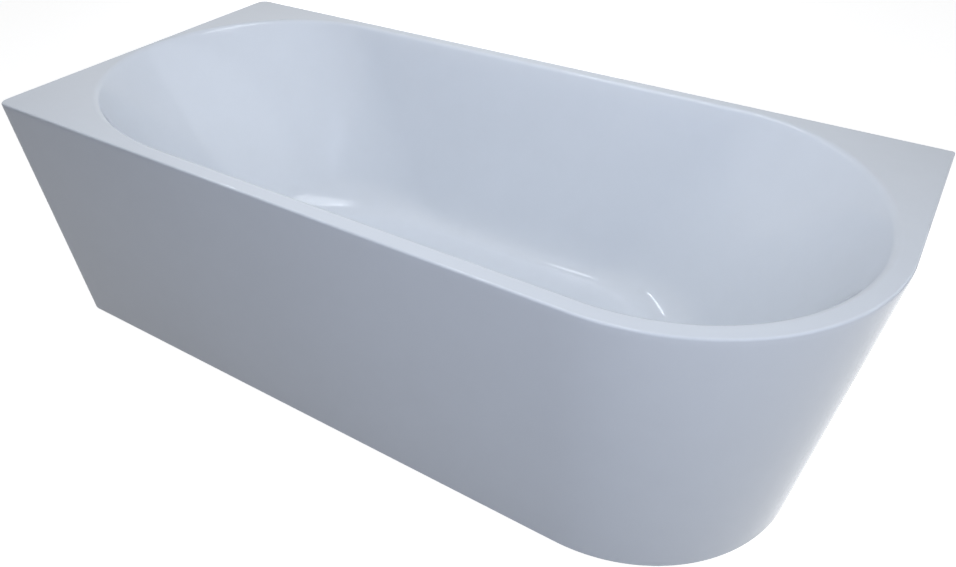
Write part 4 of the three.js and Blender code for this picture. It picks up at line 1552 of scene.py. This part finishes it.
@dataclass
class ScrewFoot(SubAssembly):
    """The screw feet: a ribbed pad, a threaded rod and the nut that locks it, shaped once for all six."""

    count: int = 6
    pitch: float = 0.00175
    thread_depth: float = 0.00095
    thread_start: float = 0.032
    turn_steps: int = 20
    core_share: float = 0.6
    core_steps: int = 48
    core_overlap: float = 0.0005
    flat: float = 0.0045
    flats: Pair = (0.0205, 0.0295)
    flats_ease: float = 0.0002
    pad_steps: int = 64
    rib_count: int = 12
    rib_half: float = 0.0008
    nut_steps: int = 96
    nut_chamfer: float = 0.985
    nut_slope: float = 30.0
    nut_sharp: float = 25.0
    bore_room: float = 0.0004
    bore_ease: float = 0.0007

    @property
    def radius(self) -> float:
        """The radius of the thread's crest."""
        low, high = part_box("foot_rod_1")
        return (high.y - low.y) / 2

    def build(self) -> None:
        """Shapes the three pieces about the origin, and places a copy of each at every foot."""
        low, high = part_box("foot_rod_1")
        shapes = {
            "pad": (self.pad(), "base", Slot.PAD, self.palette.pad, SHARP_ANGLE),
            "rod": (self.rod(low.z, high.z), "screw", Slot.ZINC, self.palette.zinc, SHARP_ANGLE),
            "locknut": (self.nut(), "", Slot.ZINC, self.palette.zinc, self.nut_sharp),
        }
        for number in range(1, self.count + 1):
            low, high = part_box(f"foot_rod_{number}")
            place = Matrix.Translation(((low.x + high.x) / 2, (low.y + high.y) / 2, 0))
            for name, (shape, part, slot, finish, sharp) in shapes.items():
                body = f"foot_{number}_{part}" if part else Body.BATH.value
                work = Workpiece(f"{name}_{number}")
                work.mesh.from_mesh(shape)
                work.finish(Role(slot, (finish,), (f"foot_{name}_{number}",), body), place, sharp)
        for shape, *_ in shapes.values():
            bpy.data.meshes.remove(shape)

    def pad(self) -> bpy.types.Mesh:
        """Shapes the pad, with ribs between its socket and its rim.

        Returns:
            The pad, on the floor under the origin.
        """
        foot = [(0, 0.0015), (0.019, 0.0015), (0.020, 0.0), (0.0235, 0.0), (0.024, 0.0006), (0.024, 0.0048)]
        top = [(0.0232, 0.0058), (0.0215, 0.006), (0.0208, 0.0045), (0.0135, 0.0045), (0.0112, 0.0062)]
        top.append((0.0104, 0.0152))
        socket = [(0.0098, 0.016), (0.0069, 0.016), (0.0064, 0.0155), (0.0064, 0.006), (0, 0.006)]
        work = Workpiece("pad")
        work.spin(foot + top + socket, self.pad_steps)
        for i in range(self.rib_count):
            self.rib(work, TURN * i / self.rib_count)
        return work.shape()

    def rib(self, work: Workpiece, angle: float) -> None:
        """Adds one sloping rib to the pad.

        Args:
            work: The pad's workpiece.
            angle: Where the rib stands, in radians round the pad.
        """
        turn, half = Matrix.Rotation(angle, 4, "Z"), self.rib_half
        side = [(0.0098, 0.004), (0.0212, 0.004), (0.0212, 0.0052), (0.0112, 0.0125), (0.0098, 0.0125)]
        work.closed([[turn @ Vector((x, y, z)) for x, z in side] for y in (-half, half)])

    def rod(self, low: float, high: float) -> bpy.types.Mesh:
        """Shapes the rod: a plain end with two flats, and the thread above it.

        Args:
            low: The height of its lower end.
            high: The height of its top.

        Returns:
            The rod, upright at the origin.
        """
        work = Workpiece("rod")
        self.thread(work, self.thread_start, high)
        core = self.radius - self.thread_depth * self.core_share
        (start, end), ease, flat, whole = self.flats, self.flats_ease, self.flat, math.inf
        levels = [(low, whole), (start - ease, whole), (start, flat), (end, flat), (end + ease, whole)]
        levels.append((self.thread_start + self.core_overlap, whole))
        rings = []
        for z, limit in levels:
            ring = circle(core, z, self.core_steps)
            rings.append([Vector((max(-limit, min(limit, p.x)), p.y, z)) for p in ring])
        work.closed(rings)
        return work.shape()

    def thread(self, work: Workpiece, low: float, high: float) -> None:
        """Spins one groove up the rod and trims both its ends level.

        Args:
            work: The rod's workpiece.
            low: The height of the thread's lower end.
            high: The height of its upper end.
        """
        outer, inner = self.radius, self.radius - self.thread_depth
        pitch, crest, start = self.pitch, self.pitch / 8, low - self.pitch
        turns = math.ceil((high - low) / pitch) + 1
        groove = [(inner, pitch / 2 - crest / 2), (inner, pitch / 2 + crest / 2)]
        points = [(outer, 0.0), (outer, crest), *groove, (outer, pitch - crest), (outer, pitch)]
        verts = [work.mesh.verts.new((r, 0, start + z)) for r, z in points]
        edges = [work.mesh.edges.new(pair) for pair in zip(verts, verts[1:])]
        bmesh.ops.spin(
            work.mesh,
            geom=verts + edges,
            cent=(0, 0, 0),
            axis=(0, 0, 1),
            dvec=(0, 0, pitch / self.turn_steps),
            angle=TURN * turns,
            steps=self.turn_steps * turns,
        )
        bmesh.ops.remove_doubles(work.mesh, verts=work.mesh.verts, dist=10 * WELD)
        for level, up in ((high, 1), (low, -1)):
            everything = [*work.mesh.verts, *work.mesh.edges, *work.mesh.faces]
            cut = bmesh.ops.bisect_plane(
                work.mesh, geom=everything, plane_co=(0, 0, level), plane_no=(0, 0, up), clear_outer=True
            )["geom_cut"]
            rim = [part for part in cut if isinstance(part, BMEdge)]
            bmesh.ops.triangle_fill(work.mesh, edges=rim, use_beauty=True)

    def nut(self) -> bpy.types.Mesh:
        """Shapes the locknut, with its corners turned off at both ends.

        Returns:
            The nut, about the origin's upright axis.
        """
        low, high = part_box("foot_locknut_1")
        flat = min(high.x - low.x, high.y - low.y) / 2
        steps, chamfer = self.nut_steps, flat * self.nut_chamfer
        slope = math.tan(math.radians(self.nut_slope))
        bore, ease = self.radius + self.bore_room, self.bore_ease
        outline = []
        for k in range(steps):
            angle = TURN * k / steps
            across = (angle % (TURN / 6)) - TURN / 12
            outline.append((angle, flat / math.cos(across)))
        eased = [(a, min(r, chamfer)) for a, r in outline]
        rings = []
        for base, way in ((low.z, 1), (high.z, -1)):
            flush = [Vector((r * math.cos(a), r * math.sin(a), base)) for a, r in eased]
            curved = []
            for a, r in outline:
                z = base + way * max(r - chamfer, 0.0) * slope
                curved.append(Vector((r * math.cos(a), r * math.sin(a), z)))
            rings.append((flush, curved))
        inner = [(bore + ease, low.z), (bore, low.z + ease), (bore, high.z - ease), (bore + ease, high.z)]
        holes = [circle(r, z, steps) for r, z in inner]
        work = Workpiece("locknut")
        bottom, top = rings
        work.hoop([bottom[0], bottom[1], top[1], top[0], *reversed(holes)])
        return work.shape()


@dataclass
class Waste(SubAssembly):
    """The click waste: its flange and plug above the floor, and its body below."""

    steps: int = 96
    tube: float = 0.0225
    bore: float = 0.020
    reach: float = 0.036
    pitch: float = 0.0018
    groove: float = 0.0014
    groove_depth: float = 0.0008
    plug_height: float = 0.0055
    dome_radii: Pair = (0.0285, 0.0021)
    dome_steps: int = 14
    ring_steps: int = 72
    ring_ease: float = 0.0008
    plug_ring: float = 0.0203
    body_ring: float = 0.0228
    neck: float = 0.018
    guide_ease: float = 0.0004
    socket_start: float = 0.030
    socket_bore: float = 0.0121
    socket_wall: float = 0.0024
    socket_steps: int = 64

    @property
    def socket_level(self) -> float:
        """The height of the middle of the socket that takes the hose."""
        low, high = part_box("waste_body")
        return (low.z + self.neck + high.z) / 2

    def build(self) -> None:
        """Builds the waste from the flange down."""
        self.flange()
        self.plug()
        self.ring("plug_washer", "plug_seal", self.plug_ring, Body.PLUG)
        self.ring("body_washer", "waste_seal", self.body_ring, Body.BATH)
        self.body()

    def flange(self) -> None:
        """Builds the flange and its threaded tube."""
        low, top = (corner.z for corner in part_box("waste_flange"))
        tube, bore, reach = self.tube, self.bore, self.reach
        inner, depth = tube - self.groove_depth, self.groove / 2
        profile = [(bore, low), (tube - 0.001, low), (tube, low + 0.001)]
        level = low + 0.003
        while level < top - 0.014:
            profile += [(tube, level), (inner, level + depth), (tube, level + self.groove)]
            level += self.pitch
        rim = [(tube, -0.003), (reach - 0.0003, -0.003), (reach, -0.0027), (reach, -0.0018)]
        rim += [(reach - 0.0008, -0.0009), (reach - 0.0022, -0.0002), (reach - 0.0036, 0.0), (0.0271, 0.0)]
        rim += [(0.0267, -0.0002), (0.0265, -0.0006), (0.0265, -0.0024), (0.0203, -0.0024), (bore, -0.0027)]
        work = Workpiece("drain_flange")
        work.spin(profile + raised(top, rim), self.steps, WASTE)
        work.finish(Role(Slot.CHROME, (self.palette.chrome,), ("waste_flange",)), sharp=50)

    def plug(self) -> None:
        """Builds the domed plug on its stem."""
        low, top = (corner.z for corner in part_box("waste_plug"))
        under = top - self.plug_height
        stem = [(0, low), (0.0045, low), (0.005, low + 0.0005), (0.005, under - 0.0005)]
        rim = [(0.0055, 0.0), (0.0305, 0.0), (0.031, 0.0004), (0.031, 0.0016)]
        rim += [(0.0306, 0.0024), (0.0297, 0.0031)]
        dome = arc((0.0, under + 0.0034), self.dome_radii, (0.0, QUARTER), self.dome_steps)
        dome[-1] = (0.0, top)
        work = Workpiece("plug_top")
        work.spin(stem + raised(under, rim) + dome, self.steps, WASTE)
        work.finish(Role(Slot.CHROME, (self.palette.chrome,), ("waste_plug",), Body.PLUG.value), sharp=50)

    def ring(self, name: str, node: str, inner: float, body: Body) -> None:
        """Builds a rubber ring with eased edges.

        Args:
            name: The new piece's name.
            node: The node that it stands for.
            inner: The radius of its hole.
            body: The body that it rides on.
        """
        low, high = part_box(node)
        outer = (high.x - low.x) / 2
        work = Workpiece(name)
        work.spin([(inner, low.z), (outer, low.z), (outer, high.z), (inner, high.z)], self.ring_steps, WASTE)
        work.soften(min((high.z - low.z) / 3, self.ring_ease))
        work.finish(Role(Slot.SEAL, (self.palette.rubber,), (node,), body.value))

    def body(self) -> None:
        """Builds the cup with its collar and its socket, and the plug's guide."""
        low, high = (corner.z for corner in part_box("waste_body"))
        foot = low + self.neck
        neck = [(0.0135, 0.0), (0.0160, 0.0), (0.0165, 0.0005)]
        base = [(0.0165, -0.002), (0.0185, 0.0), (0.0330, 0.0012), (0.0352, 0.0022), (0.0360, 0.0045)]
        collar = [(0.0360, -0.0065), (0.0366, -0.0062), (0.0366, -0.0008), (0.0360, 0.0), (0.0228, 0.0)]
        collar += [(0.0228, -0.003), (0.0330, -0.003)]
        inside = [(0.0330, 0.006), (0.0135, 0.003)]
        work = Workpiece("waste_cup")
        profile = raised(low, neck) + raised(foot, base) + raised(high, collar) + raised(foot, inside)
        work.spin(profile, self.steps, WASTE)
        work.take(self.socket())
        work.finish(Role(Slot.PIPE, (self.palette.pipe,), ("waste_body",)), sharp=40)
        guide = Workpiece.copied("plug_guide", "waste_cartridge")
        guide.soften(self.guide_ease)
        guide.finish(Role(Slot.BRASS, (self.palette.brass,), ("waste_cartridge",)))

    def socket(self) -> Workpiece:
        """Shapes the socket on the cup's front side that takes the hose.

        Returns:
            The socket, in its place.
        """
        reach = WASTE.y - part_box("waste_body")[0].y
        inner, outer = self.socket_bore, self.socket_bore + self.socket_wall
        bead, ease = outer + 0.0012, 0.0006
        profile = [(inner, self.socket_start), (outer, self.socket_start)]
        profile += raised(reach, [(outer, -0.022), (bead, -0.0215), (bead, -0.0195), (outer, -0.019)])
        profile += raised(reach, [(outer, -ease), (outer - ease, 0.0), (inner + ease, 0.0), (inner, -ease)])
        part = Workpiece("socket")
        part.spin(profile, self.socket_steps)
        turn = Matrix.Translation((WASTE.x, WASTE.y, self.socket_level)) @ Matrix.Rotation(QUARTER, 4, "X")
        part.mesh.transform(turn)
        return part


@dataclass
class UnionNut(SubAssembly):
    """A union nut with grip ribs."""

    name: str
    node: str
    ribs: int = 16
    rib_steps: int = 8
    squareness: float = 3.0
    height: float = 0.020
    grip: float = 0.005
    ease: float = 0.0006
    lip: float = 0.0025

    def build(self, over: float, through: float, place: Matrix) -> None:
        """Builds the nut.

        Args:
            over: The radius of the pipe that its wide end goes over.
            through: The radius of the pipe that comes out of its lip.
            place: Where its open end stands, with +Z towards the lip.
        """
        outer, steps, square = over + self.grip, self.ribs * self.rib_steps, self.squareness

        def ribbed(z: float, depth: float, shrink: float = 0.0) -> Ring:
            """Works out a ring whose radius dips between the ribs.

            Args:
                z: Its height.
                depth: How deep it dips.
                shrink: How far it lies inside the nut's outer radius.

            Returns:
                The ring.
            """
            ring = []
            for k in range(steps):
                angle = TURN * k / steps
                dip = 0.5 - 0.5 * math.tanh(square * math.cos(self.ribs * angle)) / math.tanh(square)
                radius = outer - shrink - depth * dip
                ring.append(Vector((radius * math.cos(angle), radius * math.sin(angle), z)))
            return ring

        top, ease, lip = self.height, self.ease, self.height - self.lip
        work = Workpiece(self.name)
        work.hoop(
            [
                circle(over, ease, steps),
                circle(over + ease, 0.0, steps),
                ribbed(0.0, 0.0005, 0.0014),
                ribbed(0.0008, 0.0009, 0.0004),
                ribbed(0.0025, 0.0013),
                ribbed(top - 0.005, 0.0013),
                ribbed(lip, 0.0009, 0.0006),
                ribbed(top - ease, 0.0004, 0.0022),
                ribbed(top, 0.0, 0.0030),
                circle(through + ease, top, steps),
                circle(through, top - ease, steps),
                circle(through, lip, steps),
                circle(over, lip, steps),
            ]
        )
        work.finish(Role(Slot.NUT, (self.palette.nut,), (self.node,)), place, sharp=30)


@dataclass
class Plumbing(SubAssembly):
    """The trap, its unions and the overflow hose."""

    pipe: float = 0.020
    bore: float = 0.0176
    bend: float = 0.026
    rise: float = 0.004
    pipe_sides: int = 48
    pipe_ease: Pair = (0.0008, 0.001)
    outlet_over: float = 0.02055
    outlet_through: float = 0.0181
    hose: float = 0.0115
    hose_wall: float = 0.0022
    hose_pitch: float = 0.0042
    hose_dip: float = 0.0012
    hose_sides: int = 24
    hose_through: float = 0.0120
    ring_steps: int = 6
    bore_rings: int = 60
    hose_ends: Pair = (0.029, 0.015)
    bend_share: float = 0.57
    seal_room: float = 0.0036
    chamber_wall: float = 0.0027
    socket_room: float = 0.0003
    socket_sides: int = 16

    def build(self) -> None:
        """Builds the trap, the hose and their nuts."""
        self.trap()
        low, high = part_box("trap_outlet_nut")
        place = Matrix.Translation((0, low.y, (low.z + high.z) / 2)) @ Matrix.Rotation(-QUARTER, 4, "X")
        nut = UnionNut(self.palette, "outlet_nut", "trap_outlet_nut")
        nut.build(self.outlet_over, self.outlet_through, place)
        low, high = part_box("hose_nut")
        place = Matrix.Translation((0, high.y, (low.z + high.z) / 2)) @ Matrix.Rotation(QUARTER, 4, "X")
        nut = UnionNut(self.palette, "hose_union", "hose_nut", ribs=14)
        nut.build((high.x - low.x) / 2 - nut.grip, self.hose_through, place)
        self.overflow_hose()

    def trap(self) -> None:
        """Builds the trap's pipe, with both its ends eased."""
        low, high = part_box("trap")
        dip = low.z + self.pipe + self.bend
        y0, r, top = WASTE.y, self.bend, dip + self.rise
        points = [(y0, high.z - down) for down in (0.0, 0.001, 0.002, 0.010)]
        points += [(y0, lerp(high.z - 0.012, dip, i / 4)) for i in range(4)]
        points += arc((y0 + r, dip), (r, r), (2 * QUARTER, TURN), 32)
        points += arc((y0 + 3 * r, top), (r, r), (2 * QUARTER, QUARTER), 18)
        points += between((y0 + 3 * r, top + r), (high.y, top + r), (0.1, 0.3, 0.5, 0.7, 0.9, 1.0))
        path = [Vector((0, y, z)) for y, z in points]
        total = sum((b - a).length for a, b in zip(path, path[1:]))
        shrink, ease = self.pipe_ease

        def outside(gone: float) -> float:
            """Returns the pipe's radius at a distance from its inlet, eased at both ends."""
            return self.pipe - shrink * max(1 - min(gone, total - gone) / ease, 0.0)

        work = Workpiece("trap_pipe")
        outer = sweep(path, outside, self.pipe_sides)
        inner = sweep(path, lambda gone: self.bore, self.pipe_sides)
        work.hoop([*outer, *reversed(inner)])
        work.finish(Role(Slot.PIPE, (self.palette.pipe,), ("trap",)), sharp=40)

    def hose_path(self) -> list[Vector]:
        """Works out the hose's path from the overflow's socket to the waste's.

        Returns:
            Its points: straight down behind the wall, round one wide bend, and level to the waste.
        """
        matrix, level = OVERFLOW.matrix, Waste(self.palette).socket_level
        start = matrix @ Vector((0, self.hose_ends[0], self.depth))
        down = (matrix @ Vector((0, 1, self.depth)) - matrix @ Vector((0, 0, self.depth))).normalized()
        corner = start + down * ((level - start.z) / down.z)
        end = Vector((0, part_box("waste_body")[0].y + self.hose_ends[1], level))
        bend = (end.y - corner.y) * self.bend_share
        before, after = corner - down * bend, Vector((0, corner.y + bend, level))
        path = [start.lerp(before, i / 120) for i in range(120)]
        path += [blended(([before], [corner], [after]), i / 60)[0] for i in range(60)]
        return path + [after.lerp(end, i / 24) for i in range(25)]

    @property
    def depth(self) -> float:
        """The level of the hose's middle behind the wall, in the overflow's frame."""
        socket = (self.hose + self.socket_room) / math.cos(math.pi / self.socket_sides)
        return -PLAN.wall - self.seal_room - self.chamber_wall - socket

    def overflow_hose(self) -> None:
        """Builds the hose with its rings."""
        path = self.evenly(self.hose_path(), self.hose_pitch / self.ring_steps)

        def ringed(gone: float) -> float:
            """Returns the hose's radius, which dips between the rings."""
            wave = 0.5 + 0.5 * math.cos(TURN * gone / self.hose_pitch)
            return self.hose - self.hose_dip * (1 - wave**0.6)

        work = Workpiece("ringed_hose")
        outer = sweep(path, ringed, self.hose_sides)
        sparse = path[:: max(len(path) // self.bore_rings, 1)]
        inner = sweep(sparse, lambda gone: self.hose - self.hose_wall, self.hose_sides)
        work.hoop([*outer, *reversed(inner)])
        work.finish(Role(Slot.PIPE, (self.palette.pipe,), ("overflow_hose",)), sharp=60)

    def evenly(self, path: Sequence[Vector], step: float) -> list[Vector]:
        """Divides a path evenly.

        Args:
            path: The path's points.
            step: The distance from one new point to the next.

        Returns:
            The new points.
        """
        made, carried = [path[0]], 0.0
        for first, second in zip(path, path[1:]):
            span = (second - first).length
            while carried + span >= step and span > 0:
                first = first.lerp(second, (step - carried) / span)
                span = (second - first).length
                carried = 0.0
                made.append(first)
            carried += span
        return made


@dataclass
class Overflow(SubAssembly):
    """The overflow: its chrome cover, its seal and the chamber behind the wall."""

    cover: float = 0.032
    depth: float = 0.012
    stem: float = 0.006
    cover_steps: int = 128
    seal: Pair = (0.024, 0.033)
    seal_levels: Pair = (-0.0093, -0.0063)
    seal_steps: int = 72
    ease: float = 0.0006
    slot: float = 0.026
    slot_levels: Pair = (-0.008, 0.006)
    slot_reach: Pair = (0.016, 0.040)
    slot_ease: float = 0.003

    def build(self) -> None:
        """Builds the three pieces."""
        self.front()
        (inner, outer), (low, high) = self.seal, self.seal_levels
        seal = Workpiece("overflow_washer")
        seal.spin([(inner, low), (outer, low), (outer, high), (inner, high)], self.seal_steps)
        seal.soften(self.ease)
        seal.finish(Role(Slot.SEAL, (self.palette.rubber,), ("overflow_seal",)), OVERFLOW.matrix)
        chamber = Workpiece.copied("overflow_chamber", "overflow_body")
        chamber.soften(self.ease)
        chamber.finish(Role(Slot.PIPE, (self.palette.pipe,), ("overflow_body",)), sharp=40)

    def front(self) -> None:
        """Builds the cover: a shallow cup on a stem, with a slot at its lower side."""
        r, d, pipes = self.cover, self.depth, Plumbing(self.palette)
        low, inner = pipes.depth - pipes.hose, self.cover - 0.0025
        profile = [(0.0, low), (self.stem, low), (self.stem, d - 0.0025), (inner, d - 0.0025)]
        profile += [(inner, 0.0003), (r - 0.0005, 0.0003), (r, 0.0008), (r, d - 0.0028)]
        profile += [(r - 0.0003, d - 0.0018), (r - 0.0010, d - 0.0008), (r - 0.0022, d - 0.0002)]
        profile += [(r - 0.0036, d), (0.0, d)]
        work = Workpiece("overflow_front")
        work.spin(profile, self.cover_steps)
        role = Role(Slot.CHROME, (self.palette.chrome,), ("overflow_cover",))
        cover = work.finish(role, OVERFLOW.matrix)
        half, ease, (low, high) = self.slot / 2, self.slot_ease, self.slot_levels
        outline = [
            *arc((half - ease, high - ease), (ease, ease), (0.0, QUARTER), 6),
            *arc((-half + ease, high - ease), (ease, ease), (QUARTER, 2 * QUARTER), 6),
            (-half, low),
            (half, low),
        ]
        cutter = Workpiece("slot_cutter")
        cutter.closed([[Vector((x, y, z)) for x, z in outline] for y in self.slot_reach])
        cutter.mesh.transform(OVERFLOW.matrix)
        carved(cover, cutter)


# The room


@dataclass(frozen=True)
class Softbox:
    """A soft lamp and what it is aimed at."""

    name: str
    place: Triple
    aim: Triple
    size: Pair
    power: float
    colour: Colour = (0.93, 0.987, 1.085)
    in_gloss: bool = True
    in_shade: bool = True

    def build(self) -> None:
        """Adds the lamp, hidden from the camera."""
        lamp = bpy.data.lights.new(self.name, "AREA")
        lamp.shape, lamp.size, lamp.size_y = "RECTANGLE", *self.size
        lamp.energy, lamp.color = self.power, self.colour
        thing = bpy.data.objects.new(self.name, lamp)
        thing.location = self.place
        thing.visible_camera = False
        thing.visible_glossy, thing.visible_diffuse = self.in_gloss, self.in_shade
        thing.rotation_euler = (Vector(self.aim) - Vector(self.place)).to_track_quat("-Z", "Y").to_euler()
        bpy.context.scene.collection.objects.link(thing)


@dataclass
class Studio:
    """The floor, the white surround, the lamps and the camera."""

    floor_size: float = 60.0
    floor_tone: float = 0.42
    floor_lift: float = 0.92
    world_light: float = 0.02
    location: Triple = (0.8092, -1.2115, 1.2621)
    azimuth: float = 34.009
    elevation: float = 37.373
    roll: float = -0.908
    lens: float = 30.40
    sensor: float = 36.0
    shift: Pair = (0.0390, 0.0180)
    clip: Pair = (0.01, 200.0)
    lamps: tuple[Softbox, ...] = (
        Softbox("overhead", (0.0, 0.05, 1.9), (0.0, 0.05, 0.3), (0.9, 0.5), 10.2, (0.945, 0.985, 1.03)),
        Softbox("camera_side", (1.15, -1.4, 1.8), (0.2, 0.0, 0.3), (1.7, 1.5), 18.0, in_gloss=False),
        Softbox("front", (0.6, -2.0, 1.1), (0.1, 0.0, 0.3), (1.2, 0.9), 3.8, (0.86, 0.975, 1.30)),
        Softbox("right", (3.0, 0.1, 1.0), (0.3, 0.0, 0.3), (2.6, 1.8), 18.0),
        Softbox("back_low", (-1.7, 2.7, 0.32), (0.0, 0.2, 0.3), (2.2, 0.5), 16.0),
        Softbox("window", (2.26, 0.83, 2.0), (-0.65, 0.1, 0.4), (4.05, 2.1), 34.0, in_shade=False),
        Softbox("left_strip", (-1.72, 0.2, 2.1), (0.4, 0.1, 0.4), (1.1, 0.03), 6.0),
        Softbox("top_dot", (-0.49, 0.17, 2.1), (-0.49, 0.17, 0.0), (0.2, 0.2), 1.5),
    )

    def build(self) -> None:
        """Builds the room round the bath."""
        self.floor()
        self.surround()
        for lamp in self.lamps:
            lamp.build()
        self.camera()
        bpy.context.scene.view_settings.view_transform = "Standard"

    def seen(self, graph: Graph) -> Wire:
        """Tells rays that see the room from those that light it.

        Args:
            graph: The node tree of the floor or of the world.

        Returns:
            1 for rays from the camera, and for those that gloss or glass passes on.
        """
        path = graph.node("LightPath")
        total = graph.math("ADD", path.outputs["Is Camera Ray"], path.outputs["Is Glossy Ray"])
        total = graph.math("ADD", total, path.outputs["Is Transmission Ray"])
        return graph.node("Clamp", {"Value": total}).outputs["Result"]

    def floor(self) -> None:
        """Lays a pale floor that keeps the bath's shadow and reads as white."""
        work = bmesh.new()
        bmesh.ops.create_grid(work, x_segments=4, y_segments=4, size=self.floor_size / 2)
        data = bpy.data.meshes.new("floor")
        work.to_mesh(data)
        work.free()
        floor = bpy.data.objects.new("floor", data)
        bpy.context.scene.collection.objects.link(floor)
        material = bpy.data.materials.new("pale_floor")
        material.use_nodes = True
        graph = Graph(material.node_tree)
        tree = material.node_tree
        shader = tree.nodes["Principled BSDF"]
        shader.inputs["Base Color"].default_value = (self.floor_tone,) * 3 + (1.0,)
        shader.inputs["Roughness"].default_value = 0.9
        shader.inputs["Specular IOR Level"].default_value = 0.1
        glow = graph.node("Emission", {"Color": (1.0, 1.0, 1.0, 1.0)})
        lift = graph.math("MULTIPLY", self.seen(graph), self.floor_lift)
        tree.links.new(lift, glow.inputs["Strength"])
        both = graph.node("AddShader")
        tree.links.new(shader.outputs[0], both.inputs[0])
        tree.links.new(glow.outputs[0], both.inputs[1])
        tree.links.new(both.outputs[0], tree.nodes["Material Output"].inputs["Surface"])
        data.materials.append(material)

    def surround(self) -> None:
        """Sets a soft light from all round, which reads as white where it is seen."""
        world = bpy.data.worlds.new("surround")
        world.use_nodes = True
        bpy.context.scene.world = world
        graph = Graph(world.node_tree)
        strength = graph.spread(self.seen(graph), self.world_light, 1.0, 0.0, 1.0)
        ground = world.node_tree.nodes["Background"]
        ground.inputs["Color"].default_value = (1.0, 1.0, 1.0, 1.0)
        world.node_tree.links.new(strength, ground.inputs["Strength"])

    def camera(self) -> None:
        """Sets the camera where the photograph was taken from."""
        data = bpy.data.cameras.new("camera")
        data.lens, data.sensor_width = self.lens, self.sensor
        data.shift_x, data.shift_y = self.shift
        data.clip_start, data.clip_end = self.clip
        az, el, roll = (math.radians(a) for a in (self.azimuth, self.elevation, self.roll))
        back = Vector((math.sin(az) * math.cos(el), -math.cos(az) * math.cos(el), math.sin(el)))
        right = Vector((math.cos(az), math.sin(az), 0.0))
        up = right.cross(-back)
        turned_right = right * math.cos(roll) + up * math.sin(roll)
        turned_up = up * math.cos(roll) - right * math.sin(roll)
        frame_axes = Matrix((turned_right, turned_up, back)).transposed()
        camera = bpy.data.objects.new("camera", data)
        camera.matrix_world = Matrix.Translation(self.location) @ frame_axes.to_4x4()
        bpy.context.scene.collection.objects.link(camera)
        bpy.context.scene.camera = camera


def main() -> None:
    """Builds the bath and the room round it."""
    logging.basicConfig(level=logging.INFO, format="%(message)s")
    palette = Palette()
    for part in (Shell, Skirt, Boards, Framework, ScrewFoot, Waste, Plumbing, Overflow):
        part(palette).build()
    Studio().build()


if __name__ == "__main__":
    main()
